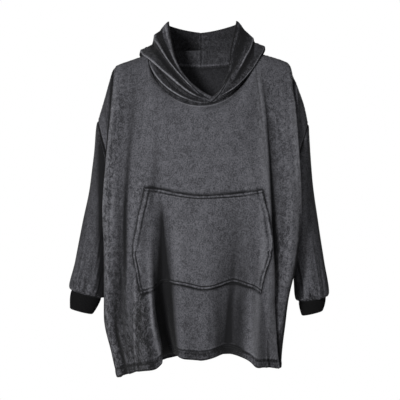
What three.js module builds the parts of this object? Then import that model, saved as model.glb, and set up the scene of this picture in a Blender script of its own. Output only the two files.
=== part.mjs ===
// A wearable blanket hoodie, filled out as it is when worn: an oversized fleece pullover with dropped
// shoulders, ribbed cuffs, a pouch pocket and a soft two-panel hood that lies back around the neck.
// Millimetres, +Z up. The front faces -Y, +X is on the right of a viewer who faces the front, and the
// origin lies between the shoulders at the base of the neck, where a wearer carries the garment.

import * as THREE from "three";

// Cloth
const FLEECE = 2.2; // thickness of the fleece
const RIB_CLOTH = 2.4; // thickness of the doubled rib at a groove
const RIB_RISE = 0.8; // how far a rib stands above its grooves
const SEAM_GAP = 0.3; // space between two sewn pieces
const SEAM_HALF = SEAM_GAP / 2;
const HOOD_GAP = 0.4; // space between the hood and the neckline

// Places on a panel. A column is given by its share of the half width, 0 at the middle and 1 at the side
// seam or armhole. A row is given by a level: 0 at the hem, 1 at the underarm, 2 at the shoulder or neck.
const UNDERARM = -420; // height of the underarm
const WIDEST = 0.75; // share at which the body is widest, seen from the front
const NECK = 0.35; // share at which the neckline meets the shoulder seam
const NECK_HALF = 140; // half width of the neckline
const OVERLAP = 0.03; // the hood's front edges cross this share to the right of the middle
const SIDE_COLUMNS = 20; // columns of quads from the middle to a side
const NECK_COLUMNS = NECK * SIDE_COLUMNS;
const ARM_ROWS = 12; // rows from the underarm to the shoulder
const LOW_LEVELS = [0, 0.04, 0.12, 0.21, 0.3, 0.4, 0.495, 0.58, 0.67, 0.758, 0.84, 0.92];
const POCKET_BOTTOM = 0.495; // levels of the pocket's lower edge, widest point and upper edge
const POCKET_WIDE = 0.758;
const POCKET_TOP = 1 + 2 / ARM_ROWS;
const POCKET_GAP = 0.4; // space between the front and the pocket's edge
const POCKET_RISE = 2.4; // how much further its middle stands off

// The body's half width and the place of its side seam, from the hem up, for each side.
const LEFT = {
  sign: -1,
  outline: [
    { z: -860, width: 219, seam: 213, middle: 6 },
    { z: -790, width: 235, seam: 228, middle: 8 },
    { z: -710, width: 254, seam: 240, middle: 10 },
    { z: -650, width: 256, seam: 236, middle: 10 },
    { z: -580, width: 256, seam: 222, middle: 10 },
    { z: -500, width: 256, seam: 207, middle: 10 },
    { z: -420, width: 255, seam: 205, middle: 10 },
  ],
  shoulder: [
    { share: 0.35, x: 140, z: 8 },
    { share: 0.466, x: 182, z: -6 },
    { share: 0.594, x: 228, z: -24 },
    { share: 0.63, x: 239, z: -35 },
    { share: 0.671, x: 243, z: -50 },
    { share: 0.797, x: 256, z: -97 },
    { share: 0.905, x: 268, z: -137 },
    { share: 1, x: 279, z: -172 },
  ],
  hem: [
    { share: 0, front: -798, back: -826 },
    { share: 0.14, front: -791, back: -828 },
    { share: 0.2, front: -790, back: -830 },
    { share: 0.25, front: -811, back: -833 },
    { share: 0.31, front: -821, back: -838 },
    { share: 0.4, front: -832, back: -842 },
    { share: 0.5, front: -843, back: -846 },
    { share: 0.75, front: -858, back: -854 },
    { share: 1, front: -857, back: -857 },
  ],
  sleeve: [
    { outerX: 300, outerZ: -345, innerX: 216, innerZ: -440, depth: 63, middle: 12 },
    { outerX: 322, outerZ: -455, innerX: 226, innerZ: -505, depth: 57, middle: 14 },
    { outerX: 340, outerZ: -548, innerX: 245, innerZ: -580, depth: 49, middle: 11 },
    { outerX: 356, outerZ: -621, innerX: 262, innerZ: -646, depth: 42, middle: 7 },
  ],
  cuffTop: { outerX: 351, outerZ: -630, innerX: 270, innerZ: -653, depth: 34, middle: 6 },
  cuffEnd: { outerX: 355, outerZ: -678, innerX: 293, innerZ: -694, depth: 25, middle: 4 },
};
const RIGHT = {
  sign: 1,
  outline: [
    { z: -860, width: 208, seam: 202, middle: 6 },
    { z: -790, width: 210, seam: 202, middle: 8 },
    { z: -710, width: 220, seam: 206, middle: 10 },
    { z: -650, width: 229, seam: 213, middle: 10 },
    { z: -580, width: 246, seam: 218, middle: 10 },
    { z: -500, width: 259, seam: 207, middle: 10 },
    { z: -420, width: 263, seam: 205, middle: 10 },
  ],
  shoulder: [
    { share: 0.35, x: 140, z: 14 },
    { share: 0.466, x: 186, z: 2 },
    { share: 0.594, x: 230, z: -13 },
    { share: 0.63, x: 239, z: -22 },
    { share: 0.671, x: 245, z: -38 },
    { share: 0.797, x: 263, z: -85 },
    { share: 0.905, x: 279, z: -130 },
    { share: 1, x: 290, z: -180 },
  ],
  hem: [
    { share: 0, front: -798, back: -826 },
    { share: 0.16, front: -788, back: -830 },
    { share: 0.22, front: -790, back: -834 },
    { share: 0.28, front: -799, back: -840 },
    { share: 0.34, front: -817, back: -846 },
    { share: 0.42, front: -822, back: -850 },
    { share: 0.6, front: -829, back: -846 },
    { share: 1, front: -838, back: -838 },
  ],
  sleeve: [
    { outerX: 302, outerZ: -335, innerX: 216, innerZ: -440, depth: 63, middle: 12 },
    { outerX: 318, outerZ: -450, innerX: 229, innerZ: -502, depth: 57, middle: 14 },
    { outerX: 333, outerZ: -550, innerX: 248, innerZ: -580, depth: 48, middle: 11 },
    { outerX: 345, outerZ: -640, innerX: 257, innerZ: -654, depth: 41, middle: 7 },
  ],
  cuffTop: { outerX: 338, outerZ: -650, innerX: 264, innerZ: -661, depth: 33, middle: 6 },
  cuffEnd: { outerX: 329, outerZ: -685, innerX: 272, innerZ: -698, depth: 25, middle: 4 },
};
const SIDE_TURN = 45; // how fast the outline turns back from its widest place
const SEAM_TURN = 150; // how fast it comes round to the side seam
const SIDE_HOLLOW = 13; // how much the cloth before and behind the underarm draws in
const HOLLOW_HEIGHT = 120; // height below the underarm over which that dies away
const SEAM_HEIGHT = 9; // the armhole's middle lies this far behind the shoulder seam's plane
const UNDERARM_X = 205;

// Curves of the columns from the underarm's height to the top edge
const NEAR_ARM = 0.86; // share from which they follow the armhole
const ARM_TURN = 262; // how fast they go forward at the armhole and back over the arm
const SHOULDER_TURN = 0.55; // share from which they come in over the arm
const MIDDLE_RISE = 290; // how fast they rise from the underarm's height
const SHOULDER_RISE = 250;
const MIDDLE_OVER = 250; // how fast they come in to the neckline and over the shoulder
const SHOULDER_OVER = 225;

// The front and the back. The depth is that of the middle of the panel, and the swell that of its widest
// part. The neck rows give the middle of the neckline, and the slope is the panel's lean just below it.
const FRONT = {
  sign: -1,
  depths: [
    { z: -860, depth: 146, swell: 34 },
    { z: -700, depth: 150, swell: 52 },
    { z: -560, depth: 150, swell: 78 },
    { z: -420, depth: 146, swell: 86 },
  ],
  neck: { y: -104, z: -138, lean: 0.45, rise: 0.89 },
};
const BACK = {
  sign: 1,
  depths: [
    { z: -860, depth: 158, swell: 40 },
    { z: -700, depth: 156, swell: 60 },
    { z: -560, depth: 150, swell: 84 },
    { z: -420, depth: 140, swell: 92 },
  ],
  neck: { y: 88, z: -18, lean: 0.6, rise: 0.8 },
};

// Folds of a panel. Each is a soft ridge, or a trough where its height is negative, that runs through
// three levels. Its left and right widths are shares of the half width, and left is at negative shares.
const FRONT_FOLDS = [
  {
    name: "left roll", levels: [1.3, 0.7, 0], shares: [-0.62, -0.6, -0.64],
    heights: [2, 6, 8], left: 0.12, right: 0.1,
  },
  {
    name: "left valley", levels: [1.6, 0.8, 0], shares: [-0.43, -0.46, -0.52],
    heights: [-3, -11, -10], left: 0.11, right: 0.1,
  },
  {
    name: "left lobe", levels: [1.2, 0.6, 0], shares: [-0.36, -0.34, -0.31],
    heights: [2, 8, 30], left: 0.14, right: 0.1,
  },
  {
    name: "left recess", levels: [1.1, 0.6, 0], shares: [-0.2, -0.19, -0.18],
    heights: [-3, -18, -44], left: 0.08, right: 0.1,
  },
  {
    name: "middle swell", levels: [1.1, 0.6, 0], shares: [0, 0, 0.02],
    heights: [0, 4, 10], left: 0.14, right: 0.16,
  },
  {
    name: "right recess", levels: [1.1, 0.6, 0], shares: [0.17, 0.17, 0.19],
    heights: [-3, -15, -30], left: 0.17, right: 0.08,
  },
  {
    name: "right ridge", levels: [1.2, 0.6, 0], shares: [0.27, 0.27, 0.33],
    heights: [2, 10, 18], left: 0.08, right: 0.13,
  },
  {
    name: "right valley", levels: [1.7, 0.8, 0], shares: [0.42, 0.43, 0.55],
    heights: [-4, -16, -14], left: 0.09, right: 0.11,
  },
  {
    name: "right roll", levels: [1.4, 0.7, 0], shares: [0.57, 0.57, 0.7],
    heights: [3, 8, 6], left: 0.11, right: 0.12,
  },
  {
    name: "left arm crease", levels: [1.7, 1.5, 1], shares: [-0.68, -0.75, -0.85],
    heights: [-6, -26, -14], left: 0.09, right: 0.08,
  },
  {
    name: "right arm crease", levels: [1.7, 1.5, 1], shares: [0.68, 0.75, 0.85],
    heights: [-6, -24, -14], left: 0.08, right: 0.09,
  },
];
const BACK_FOLDS = [
  {
    name: "left swing", levels: [1.5, 0.7, 0], shares: [-0.5, -0.52, -0.56],
    heights: [3, 12, 20], left: 0.14, right: 0.12,
  },
  {
    name: "left trough", levels: [1.4, 0.7, 0], shares: [-0.3, -0.32, -0.34],
    heights: [-3, -14, -30], left: 0.12, right: 0.13,
  },
  {
    name: "middle swing", levels: [1.3, 0.6, 0], shares: [-0.08, -0.1, -0.12],
    heights: [2, 8, 20], left: 0.13, right: 0.13,
  },
  {
    name: "middle trough", levels: [1.3, 0.6, 0], shares: [0.12, 0.12, 0.1],
    heights: [-2, -10, -26], left: 0.12, right: 0.12,
  },
  {
    name: "right swing", levels: [1.5, 0.7, 0], shares: [0.32, 0.33, 0.33],
    heights: [3, 10, 22], left: 0.13, right: 0.12,
  },
  {
    name: "right trough", levels: [1.4, 0.7, 0], shares: [0.5, 0.52, 0.54],
    heights: [-3, -12, -24], left: 0.11, right: 0.11,
  },
  {
    name: "left arm crease", levels: [1.7, 1.5, 1], shares: [-0.69, -0.75, -0.84],
    heights: [-5, -20, -12], left: 0.09, right: 0.08,
  },
  {
    name: "right arm crease", levels: [1.7, 1.5, 1], shares: [0.69, 0.75, 0.84],
    heights: [-5, -20, -12], left: 0.08, right: 0.09,
  },
];
const FOLD_FADE = 0.3; // levels over which a fold dies away past its upper end
const FOLD_CALM = 0.13; // share next to the side seam and armhole over which all folds die away

// The pocket's half width, as shares of the panel's half width. Below and above the pocket the columns
// of quads run on from its edges, along the folds and to the ends of the neckline.
const POCKET_EDGE = [
  { level: 0, left: 0.28, right: 0.43 },
  { level: POCKET_BOTTOM, left: 0.305, right: 0.334 },
  { level: POCKET_WIDE, left: 0.361, right: 0.356 },
  { level: POCKET_TOP, left: 0.291, right: 0.307 },
  { level: 2, left: NECK, right: NECK },
];

// The hood's section at compass angles round the neck, from 0 at the front to 180 at the back. Each pair
// is the distance out from the neckline and up from it: first fold, the two ends of the trough behind it,
// outer fold, dent, upper fold and rim.
const HOOD_LEFT = [
  {
    angle: -20, foot: [-5, 1], rise: [-5, 3], tuck: [-5, 4.5], sole: [-6, 6],
    wall: [-6, 7.5], dent: [-7, 9], fold: [-8, 10.5], rim: [-9, 12],
  },
  {
    angle: -8, foot: [-5, 1], rise: [-5, 5], tuck: [-6, 7], sole: [-6, 9],
    wall: [-6, 13], dent: [-8, 18], fold: [-10, 24], rim: [-14, 29],
  },
  {
    angle: 8, foot: [-4, 1], rise: [-1, 9], tuck: [-3, 13], sole: [-3, 16],
    wall: [2, 26], dent: [-5, 33], fold: [-5, 43], rim: [-17, 53],
  },
  {
    angle: 35, foot: [0, 0], rise: [7, 18], tuck: [-3, 27], sole: [-4, 32],
    wall: [7, 52], dent: [-9, 64], fold: [-5, 81], rim: [-34, 90],
  },
  {
    angle: 60, foot: [0, 0], rise: [6, 22], tuck: [-5, 32], sole: [-5, 37],
    wall: [15, 52], dent: [-8, 68], fold: [-9, 92], rim: [-50, 104],
  },
  {
    angle: 90, foot: [0, 0], rise: [1, 15], tuck: [8, 17], sole: [14, 9],
    wall: [21, 10], dent: [-7, 30], fold: [-16, 50], rim: [-52, 88],
  },
  {
    angle: 120, foot: [0, 0], rise: [0, 26], tuck: [13, 12], sole: [30, -8],
    wall: [43, 2], dent: [18, 36], fold: [2, 60], rim: [-32, 99],
  },
  {
    angle: 150, foot: [0, 0], rise: [3, 40], tuck: [24, -4], sole: [50, -72],
    wall: [74, -40], dent: [62, 12], fold: [44, 56], rim: [12, 107],
  },
  {
    angle: 180, foot: [0, 0], rise: [4, 46], tuck: [28, -40], sole: [54, -134],
    wall: [90, -92], dent: [96, -16], fold: [88, 48], rim: [62, 104],
  },
];
const HOOD_RIGHT = [
  {
    angle: 7, foot: [0, 0], rise: [2, 4], tuck: [2, 5.5], sole: [2, 7],
    wall: [2, 8.5], dent: [2, 10], fold: [1, 11.5], rim: [-1, 13],
  },
  {
    angle: 20, foot: [0, 0], rise: [2, 6], tuck: [3, 8], sole: [4, 10],
    wall: [4, 14], dent: [2, 19], fold: [-3, 25], rim: [-10, 29],
  },
  {
    angle: 35, foot: [0, 0], rise: [2, 9], tuck: [3, 12], sole: [8, 14],
    wall: [11, 19], dent: [3, 33], fold: [-7, 45], rim: [-27, 52],
  },
  {
    angle: 60, foot: [0, 0], rise: [0, 17], tuck: [4, 21], sole: [11, 20],
    wall: [15, 24], dent: [2, 42], fold: [-13, 58], rim: [-50, 72],
  },
  {
    angle: 75, foot: [0, 0], rise: [0, 19], tuck: [7, 25], sole: [17, 22],
    wall: [23, 24], dent: [4, 36], fold: [-10, 52], rim: [-49, 80],
  },
  {
    angle: 90, foot: [0, 0], rise: [1, 17], tuck: [10, 21], sole: [23, 14],
    wall: [31, 14], dent: [8, 28], fold: [-5, 44], rim: [-43, 84],
  },
  {
    angle: 120, foot: [0, 0], rise: [0, 26], tuck: [14, 12], sole: [32, -8],
    wall: [46, 2], dent: [24, 32], fold: [10, 56], rim: [-26, 97],
  },
  {
    angle: 150, foot: [0, 0], rise: [3, 40], tuck: [24, -4], sole: [50, -72],
    wall: [74, -40], dent: [62, 12], fold: [48, 56], rim: [14, 107],
  },
  {
    angle: 180, foot: [0, 0], rise: [4, 46], tuck: [28, -40], sole: [54, -134],
    wall: [90, -92], dent: [96, -16], fold: [88, 48], rim: [62, 104],
  },
];
const HOOD_POINTS = ["rise", "tuck", "sole", "wall", "dent", "fold", "rim"];
const NECK_LEVEL = 1.96; // level at which the panel's lean is taken for the hood's foot
const NECK_INSET = 0.03; // that lean is taken no nearer than this share to the shoulder
const NECK_BLEND = 0.6; // part of the neckline from which it turns to the shoulder seam's own
const HOOD_STAND = 3.5; // length of the hood that runs on in line with the panel before it turns up
const HOOD_STEPS = 3; // rows of quads between two named points

// Sleeves and cuffs
const SLEEVE_START = 9; // length of sleeve that leaves the armhole square to it
const SLEEVE_TAIL = 3; // length of sleeve end in line with the cuff
const SLEEVE_SPANS = 6; // spans of the sleeve's curves, from the armhole to the tail
const SLEEVE_ROWS = [0, 1, 1.35, 1.7, 2, 2.35, 2.7, 3, 3.5, 4, 4.35, 4.7, 5, 5.5, 6, 7];
const GATHERS = 6; // soft waves where the sleeve is drawn into the cuff
const GATHER_DEPTH = 3.2;
const GATHER_FROM = 4.1; // spans from the armhole at which the waves start, and at which they are full
const GATHER_FULL = 5;
const CUFF_RIBS = 44;

const BACKWARD = new THREE.Vector3(0, 1, 0);
const STEP = 0.004; // share and level over which the slope of a surface is taken
const EDGE_STEP = 0.01; // the same along a seam
const TINY = 1e-6;
const { lerp, clamp, degToRad } = THREE.MathUtils;
const point = (x, y, z) => new THREE.Vector3(x, y, z);

const cloth = new THREE.MeshStandardMaterial({ color: 0x45454b, roughness: 0.95, metalness: 0 });
const rib = new THREE.MeshStandardMaterial({ color: 0x121214, roughness: 0.9, metalness: 0 });

function ease(x) {
  const t = clamp(x, 0, 1);
  return t * t * (3 - 2 * t);
}

// Cubic from a to b with slopes da and db, at t from 0 to 1.
function cubic(a, da, b, db, t) {
  const u = 1 - t;
  return a * u * u * (1 + 2 * t) + da * t * u * u + b * t * t * (3 - 2 * t) - db * t * t * u;
}

// Value of one column of a table at a place along another column, on a smooth curve through the rows.
function read(table, along, value, at) {
  const last = table.length - 1;
  const x = clamp(at, table[0][along], table[last][along]);
  let row = 0;
  while (row < last - 1 && x > table[row + 1][along]) row++;
  const slope = (k) => {
    const before = table[Math.max(k - 1, 0)];
    const after = table[Math.min(k + 1, last)];
    return (value(after) - value(before)) / (after[along] - before[along]);
  };
  const span = table[row + 1][along] - table[row][along];
  const t = (x - table[row][along]) / span;
  return cubic(value(table[row]), slope(row) * span, value(table[row + 1]), slope(row + 1) * span, t);
}

// The same with straight lines between the rows.
function readStraight(table, along, key, at) {
  let row = 0;
  while (row < table.length - 2 && at > table[row + 1][along]) row++;
  const t = clamp((at - table[row][along]) / (table[row + 1][along] - table[row][along]), 0, 1);
  return lerp(table[row][key], table[row + 1][key], t);
}

const sideOf = (share) => (share < 0 ? LEFT : RIGHT);

// Point of the body's horizontal outline at a height, for a share from 0 to 1 of one side.
function outlinePoint(panel, side, share, z) {
  const width = read(side.outline, "z", (r) => r.width, z);
  const seam = read(side.outline, "z", (r) => r.seam, z);
  const middle = read(side.outline, "z", (r) => r.middle, z);
  const depth = read(panel.depths, "z", (r) => r.depth, z);
  const swell = read(panel.depths, "z", (r) => r.swell, z);
  if (share <= WIDEST) {
    const turn = ((share / WIDEST) * Math.PI) / 2;
    const y = swell + (depth - swell) * Math.cos(turn);
    return point(side.sign * width * Math.sin(turn), panel.sign * y, z);
  }
  const t = (share - WIDEST) / (1 - WIDEST);
  const hollow = SIDE_HOLLOW * ease((z - UNDERARM) / HOLLOW_HEIGHT + 1) * (4 * t * (1 - t)) ** 2;
  const x = cubic(width, 0, seam, 0, t) - hollow;
  const y = cubic(panel.sign * swell, -panel.sign * SIDE_TURN, middle, -panel.sign * SEAM_TURN, t);
  return point(side.sign * x, y, z);
}

// Point on the neckline at a share up to NECK from the middle.
function neckPoint(panel, side, share) {
  const turn = ((share / NECK) * Math.PI) / 2;
  const end = side.shoulder[0];
  const x = side.sign * NECK_HALF * Math.sin(turn);
  return point(x, panel.neck.y * Math.cos(turn), lerp(end.z, panel.neck.z, Math.cos(turn)));
}

// Point on the panel's upper edge: the neckline, then the shoulder seam down to the armhole.
function topPoint(panel, side, share) {
  if (share <= NECK) return neckPoint(panel, side, share);
  const x = read(side.shoulder, "share", (r) => r.x, share);
  const z = read(side.shoulder, "share", (r) => r.z, share);
  return point(side.sign * x, SEAM_HEIGHT * ease((share - NECK) / (1 - NECK)), z);
}

// Point of a panel without its folds. Above the underarm each column is a curve that rises from the
// outline there and comes in level over the shoulder, or over the arm where it nears the armhole.
function smoothPoint(panel, share, level) {
  const side = sideOf(share);
  const s = Math.min(Math.abs(share), 1);
  if (level <= 1) {
    const key = panel === FRONT ? "front" : "back";
    const hem = read(side.hem, "share", (r) => r[key], s);
    return outlinePoint(panel, side, s, lerp(hem, UNDERARM, level));
  }
  const t = level - 1;
  const nearArm = ease((s - NEAR_ARM) / (1 - NEAR_ARM));
  const start = outlinePoint(panel, side, s, UNDERARM);
  start.x = lerp(start.x, side.sign * UNDERARM_X, nearArm);
  const end = topPoint(panel, side, s);
  const nearNeck = ease(s / NECK);
  const overArm = ease((s - SHOULDER_TURN) / (1 - SHOULDER_TURN));
  const up = lerp(MIDDLE_RISE, SHOULDER_RISE, nearNeck) * (1 - nearArm);
  const forward = panel.sign * ARM_TURN * nearArm;
  const over = lerp(lerp(MIDDLE_OVER, SHOULDER_OVER, nearNeck), ARM_TURN, overArm);
  const lean = lerp(panel.neck.lean, 1, nearNeck) * over;
  const rise = lerp(panel.neck.rise, 0, nearNeck) * over;
  return point(
    lerp(start.x, end.x, t * t * (3 - 2 * t)),
    cubic(start.y, forward, end.y, -panel.sign * lean, t),
    cubic(start.z, up, end.z, rise, t),
  );
}

// Height of all the folds of a panel at a place on it.
function foldHeight(folds, share, level) {
  let sum = 0;
  for (const fold of folds) {
    const rows = [2, 1, 0].map((k) => ({
      level: fold.levels[k],
      share: fold.shares[k],
      height: fold.heights[k],
    }));
    const reach = ease((fold.levels[0] + FOLD_FADE - level) / FOLD_FADE);
    const below = fold.levels[2] > 0 ? ease((level - fold.levels[2] + FOLD_FADE) / FOLD_FADE) : 1;
    const centre = read(rows, "level", (r) => r.share, level);
    const height = read(rows, "level", (r) => r.height, level);
    const offset = share - centre;
    const near = Math.abs(offset) / (offset < 0 ? fold.left : fold.right);
    if (near < 1) sum += height * reach * below * 0.5 * (1 + Math.cos(Math.PI * near));
  }
  return sum;
}

// Unit vector out of a panel at a place on it.
function outward(surface, share, level, flip) {
  const across = surface(share + STEP, level).sub(surface(share - STEP, level));
  const along = surface(share, Math.min(level + STEP, 2)).sub(surface(share, level - STEP));
  return across.cross(along).normalize().multiplyScalar(flip);
}

// Point of a panel with its folds.
function panelPoint(panel, share, level) {
  const folds = panel === FRONT ? FRONT_FOLDS : BACK_FOLDS;
  const base = smoothPoint(panel, share, level);
  const height = foldHeight(folds, share, level);
  if (Math.abs(height) < TINY) return base;
  const normal = outward((s, l) => smoothPoint(panel, s, l), share, level, -panel.sign);
  return base.addScaledVector(normal, height * ease((1 - Math.abs(share)) / FOLD_CALM));
}

// Share at which a column of the panel lies on a level. Columns follow the pocket's edges, and those at
// the neck lean over so that the middle one ends where the hood's edges cross.
function columnShare(panel, column, level) {
  const edge = readStraight(POCKET_EDGE, "level", column < 0 ? "left" : "right", level);
  const size = Math.abs(column);
  const share = size <= NECK ? (size / NECK) * edge : lerp(edge, 1, (size - NECK) / (1 - NECK));
  const lean = panel === FRONT ? OVERLAP * ease(level - 1) * Math.max(0, 1 - size / NECK) : 0;
  return Math.sign(column) * share + lean;
}

const LEVELS = [...LOW_LEVELS, ...Array.from({ length: ARM_ROWS + 1 }, (_, k) => 1 + k / ARM_ROWS)];
const COLUMNS = Array.from({ length: 2 * SIDE_COLUMNS + 1 }, (_, k) => k / SIDE_COLUMNS - 1);

// Direction in which the sleeve leaves the armhole, from the underarm at 0 to the shoulder at 1.
function sleeveStart(side, share) {
  const top = side.shoulder[side.shoulder.length - 1];
  const before = side.shoulder[side.shoulder.length - 2];
  const ridge = point(side.sign * (top.x - before.x), 0, top.z - before.z).normalize();
  return point(side.sign, 0, 0).lerp(ridge, ease(share)).normalize();
}

// A closed wall between a grid of outer points and the same grid moved in by its thickness. Rows run up
// and columns run anticlockwise seen from above, for the outside to be out. Fixed normals may be given
// for single places, so that sewn pieces end in parallel faces.
function wall(name, material, grid, options = {}) {
  const { thickness = FLEECE, around = false, flip = 1, fixed = new Map(), inner = null } = options;
  const rows = grid.length;
  const columns = grid[0].length;
  const at = (i, j) => grid[i][around ? (j + columns) % columns : clamp(j, 0, columns - 1)];
  const normalAt = (i, j) => {
    const key = `${i},${j}`;
    if (fixed.has(key)) return fixed.get(key);
    const across = at(i, j + 1).clone().sub(at(i, j - 1));
    const up = at(Math.min(i + 1, rows - 1), j).clone().sub(at(Math.max(i - 1, 0), j));
    return across.cross(up).normalize().multiplyScalar(flip);
  };
  const positions = [];
  for (let i = 0; i < rows; i++) for (const p of grid[i]) positions.push(p.x, p.y, p.z);
  for (let i = 0; i < rows; i++) {
    for (let j = 0; j < columns; j++) {
      const p = inner ? inner[i][j] : grid[i][j].clone().addScaledVector(normalAt(i, j), -thickness);
      positions.push(p.x, p.y, p.z);
    }
  }
  const index = [];
  const outer = (i, j) => i * columns + (j % columns);
  const inside = (i, j) => rows * columns + outer(i, j);
  const apart = (a, b) =>
    Math.hypot(...[0, 1, 2].map((axis) => positions[3 * a + axis] - positions[3 * b + axis]));
  const quad = (a, b, c, d, short = apart(a, c) <= apart(b, d)) => {
    const faces = short ? [a, b, c, a, c, d] : [a, b, d, b, c, d];
    index.push(...(flip > 0 ? faces : faces.reverse()));
  };
  const spans = around ? columns : columns - 1;
  for (let i = 0; i < rows - 1; i++) {
    for (let j = 0; j < spans; j++) {
      const short = apart(outer(i, j), outer(i + 1, j + 1)) <= apart(outer(i, j + 1), outer(i + 1, j));
      quad(outer(i, j), outer(i, j + 1), outer(i + 1, j + 1), outer(i + 1, j), short);
      quad(inside(i, j), inside(i + 1, j), inside(i + 1, j + 1), inside(i, j + 1), short);
    }
  }
  for (let j = 0; j < spans; j++) {
    quad(outer(0, j), inside(0, j), inside(0, j + 1), outer(0, j + 1));
    quad(outer(rows - 1, j), outer(rows - 1, j + 1), inside(rows - 1, j + 1), inside(rows - 1, j));
  }
  if (!around) {
    const last = columns - 1;
    for (let i = 0; i < rows - 1; i++) {
      quad(outer(i, 0), outer(i + 1, 0), inside(i + 1, 0), inside(i, 0));
      quad(outer(i, last), inside(i, last), inside(i + 1, last), outer(i + 1, last));
    }
  }
  const geometry = new THREE.BufferGeometry();
  geometry.setAttribute("position", new THREE.Float32BufferAttribute(positions, 3));
  geometry.setIndex(index);
  geometry.computeVertexNormals();
  const mesh = new THREE.Mesh(geometry, material);
  mesh.name = name;
  return mesh;
}

// Normal shared by the pieces that meet along a panel's side seam and armhole.
function edgeNormal(panel, side, level) {
  if (level === 1) return point(side.sign * 0.3, 0, -0.95).normalize();
  if (level > 2 - TINY) return shoulderNormal(side, 1);
  const from = panelPoint(panel, side.sign, Math.max(level - EDGE_STEP, 0));
  const along = panelPoint(panel, side.sign, Math.min(level + EDGE_STEP, 2)).sub(from);
  const across = level < 1 ? point(0, -panel.sign, 0) : sleeveStart(side, level - 1);
  return across.cross(along).multiplyScalar(-panel.sign * side.sign).normalize();
}

// Normal shared by the front and the back along the shoulder seam.
function shoulderNormal(side, share) {
  const from = topPoint(FRONT, side, Math.max(share - EDGE_STEP, NECK));
  const along = topPoint(FRONT, side, Math.min(share + EDGE_STEP, 1)).sub(from);
  return point(-along.z * side.sign, 0, Math.abs(along.x)).normalize();
}

// Outer points of a panel, with the seams' gaps, and the normals that it shares with its neighbours.
function panelGrid(panel) {
  const fixed = new Map();
  const top = LEVELS.length - 1;
  const grid = LEVELS.map((level, i) =>
    COLUMNS.map((column, j) => {
      const share = columnShare(panel, column, level);
      const p = panelPoint(panel, share, level);
      const side = sideOf(share);
      const atSide = j === 0 || j === COLUMNS.length - 1;
      const onShoulder = i === top && Math.abs(column) > NECK - TINY;
      const onSeam = Math.max(Math.abs(share), NECK + EDGE_STEP);
      if (i === top && !onShoulder) fixed.set(`${i},${j}`, neckFrame(panel, share).normal);
      if (onShoulder) fixed.set(`${i},${j}`, shoulderNormal(side, onSeam));
      if (atSide) fixed.set(`${i},${j}`, edgeNormal(panel, side, level));
      if (onShoulder || (atSide && level <= 1)) p.y += panel.sign * SEAM_HALF;
      return p;
    }),
  );
  return { grid, fixed };
}

// Place on the neckline, the normal there and the direction into the neck opening, square to the seam.
function neckFrame(panel, share) {
  const side = sideOf(share);
  const size = Math.min(Math.abs(share), NECK);
  const place = neckPoint(panel, side, size);
  const ahead = neckPoint(panel, side, Math.min(size + STEP, NECK));
  const seam = size > STEP ? ahead.sub(neckPoint(panel, side, size - STEP)) : point(side.sign, 0, 0);
  if (size > NECK - 2 * STEP) seam.set(0, 1, 0);
  seam.normalize();
  const nearby = Math.sign(share || 1) * Math.min(size, NECK - NECK_INSET);
  const normal = outward((s, l) => panelPoint(panel, s, l), nearby, NECK_LEVEL, -panel.sign);
  const toShoulder = ease((size / NECK - NECK_BLEND) / (1 - NECK_BLEND));
  normal.lerp(shoulderNormal(side, NECK + EDGE_STEP), toShoulder);
  normal.addScaledVector(seam, -normal.dot(seam)).normalize();
  const inward = seam.cross(normal).normalize();
  if (inward.dot(place) - inward.z * place.z > 0) inward.negate();
  return { place, normal, inward };
}

// One half of the hood, from the front crossing round to the seam at the back.
function hoodHalf(name, table, side, firstColumn) {
  const columns = [];
  const columnAt = (k) => side.sign * (k / SIDE_COLUMNS);
  for (let k = firstColumn; k <= NECK_COLUMNS; k++) columns.push([FRONT, columnAt(k)]);
  for (let k = NECK_COLUMNS - 1; k >= 0; k--) columns.push([BACK, columnAt(k)]);
  const fixed = new Map();
  const profiles = columns.map(([panel, column], j) => {
    const atBack = j === columns.length - 1;
    const share = columnShare(panel, column, 2);
    const { place, normal, inward } = neckFrame(panel, share);
    const quarter = Math.min((side.sign * share) / NECK, 1) * 90;
    const angle = panel === FRONT ? quarter : 180 - quarter;
    const turn = degToRad(angle);
    const out = point(side.sign * Math.sin(turn), -Math.cos(turn), 0);
    const offset = (key) => {
      const away = read(table, "angle", (r) => r[key][0], angle);
      const up = read(table, "angle", (r) => r[key][1], angle);
      return place.clone().addScaledVector(out, away).add(point(0, 0, up));
    };
    const foot = offset("foot").addScaledVector(inward, HOOD_GAP);
    const stand = foot.clone().addScaledVector(inward, HOOD_STAND);
    const stations = [foot, stand, ...HOOD_POINTS.map(offset)];
    const curve = new THREE.CatmullRomCurve3(stations, false, "centripetal");
    const steps = (stations.length - 1) * HOOD_STEPS;
    const points = [foot];
    for (let k = HOOD_STEPS; k <= steps; k++) points.push(curve.getPoint(k / steps));
    if (atBack) for (const p of points) p.x = side.sign * SEAM_HALF;
    fixed.set(`0,${j}`, normal);
    return points;
  });
  const grid = profiles[0].map((_, i) => profiles.map((profile) => profile[i]));
  const last = profiles.length - 1;
  for (let i = 1; i < grid.length; i++) {
    const up = profiles[last][Math.min(i + 1, grid.length - 1)].clone().sub(profiles[last][i - 1]);
    fixed.set(`${i},${last}`, point(0, up.z, -up.y).normalize());
  }
  if (side === LEFT) return wall(name, cloth, grid, { flip: -1, fixed });
  return wall(name, cloth, grid, { fixed });
}

// A ring of a sleeve or cuff, from the inner side round the front to the outer side and back.
function sleeveSection(side, section, count) {
  const inner = point(side.sign * section.innerX, section.middle, section.innerZ);
  const outer = point(side.sign * section.outerX, section.middle, section.outerZ);
  const middle = inner.clone().lerp(outer, 0.5);
  const half = outer.clone().sub(middle);
  return Array.from({ length: count }, (_, k) => {
    const turn = (2 * Math.PI * k) / count;
    const p = middle.clone().addScaledVector(half, -Math.cos(turn));
    return p.addScaledVector(BACKWARD, -section.depth * Math.sin(turn));
  });
}

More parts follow.
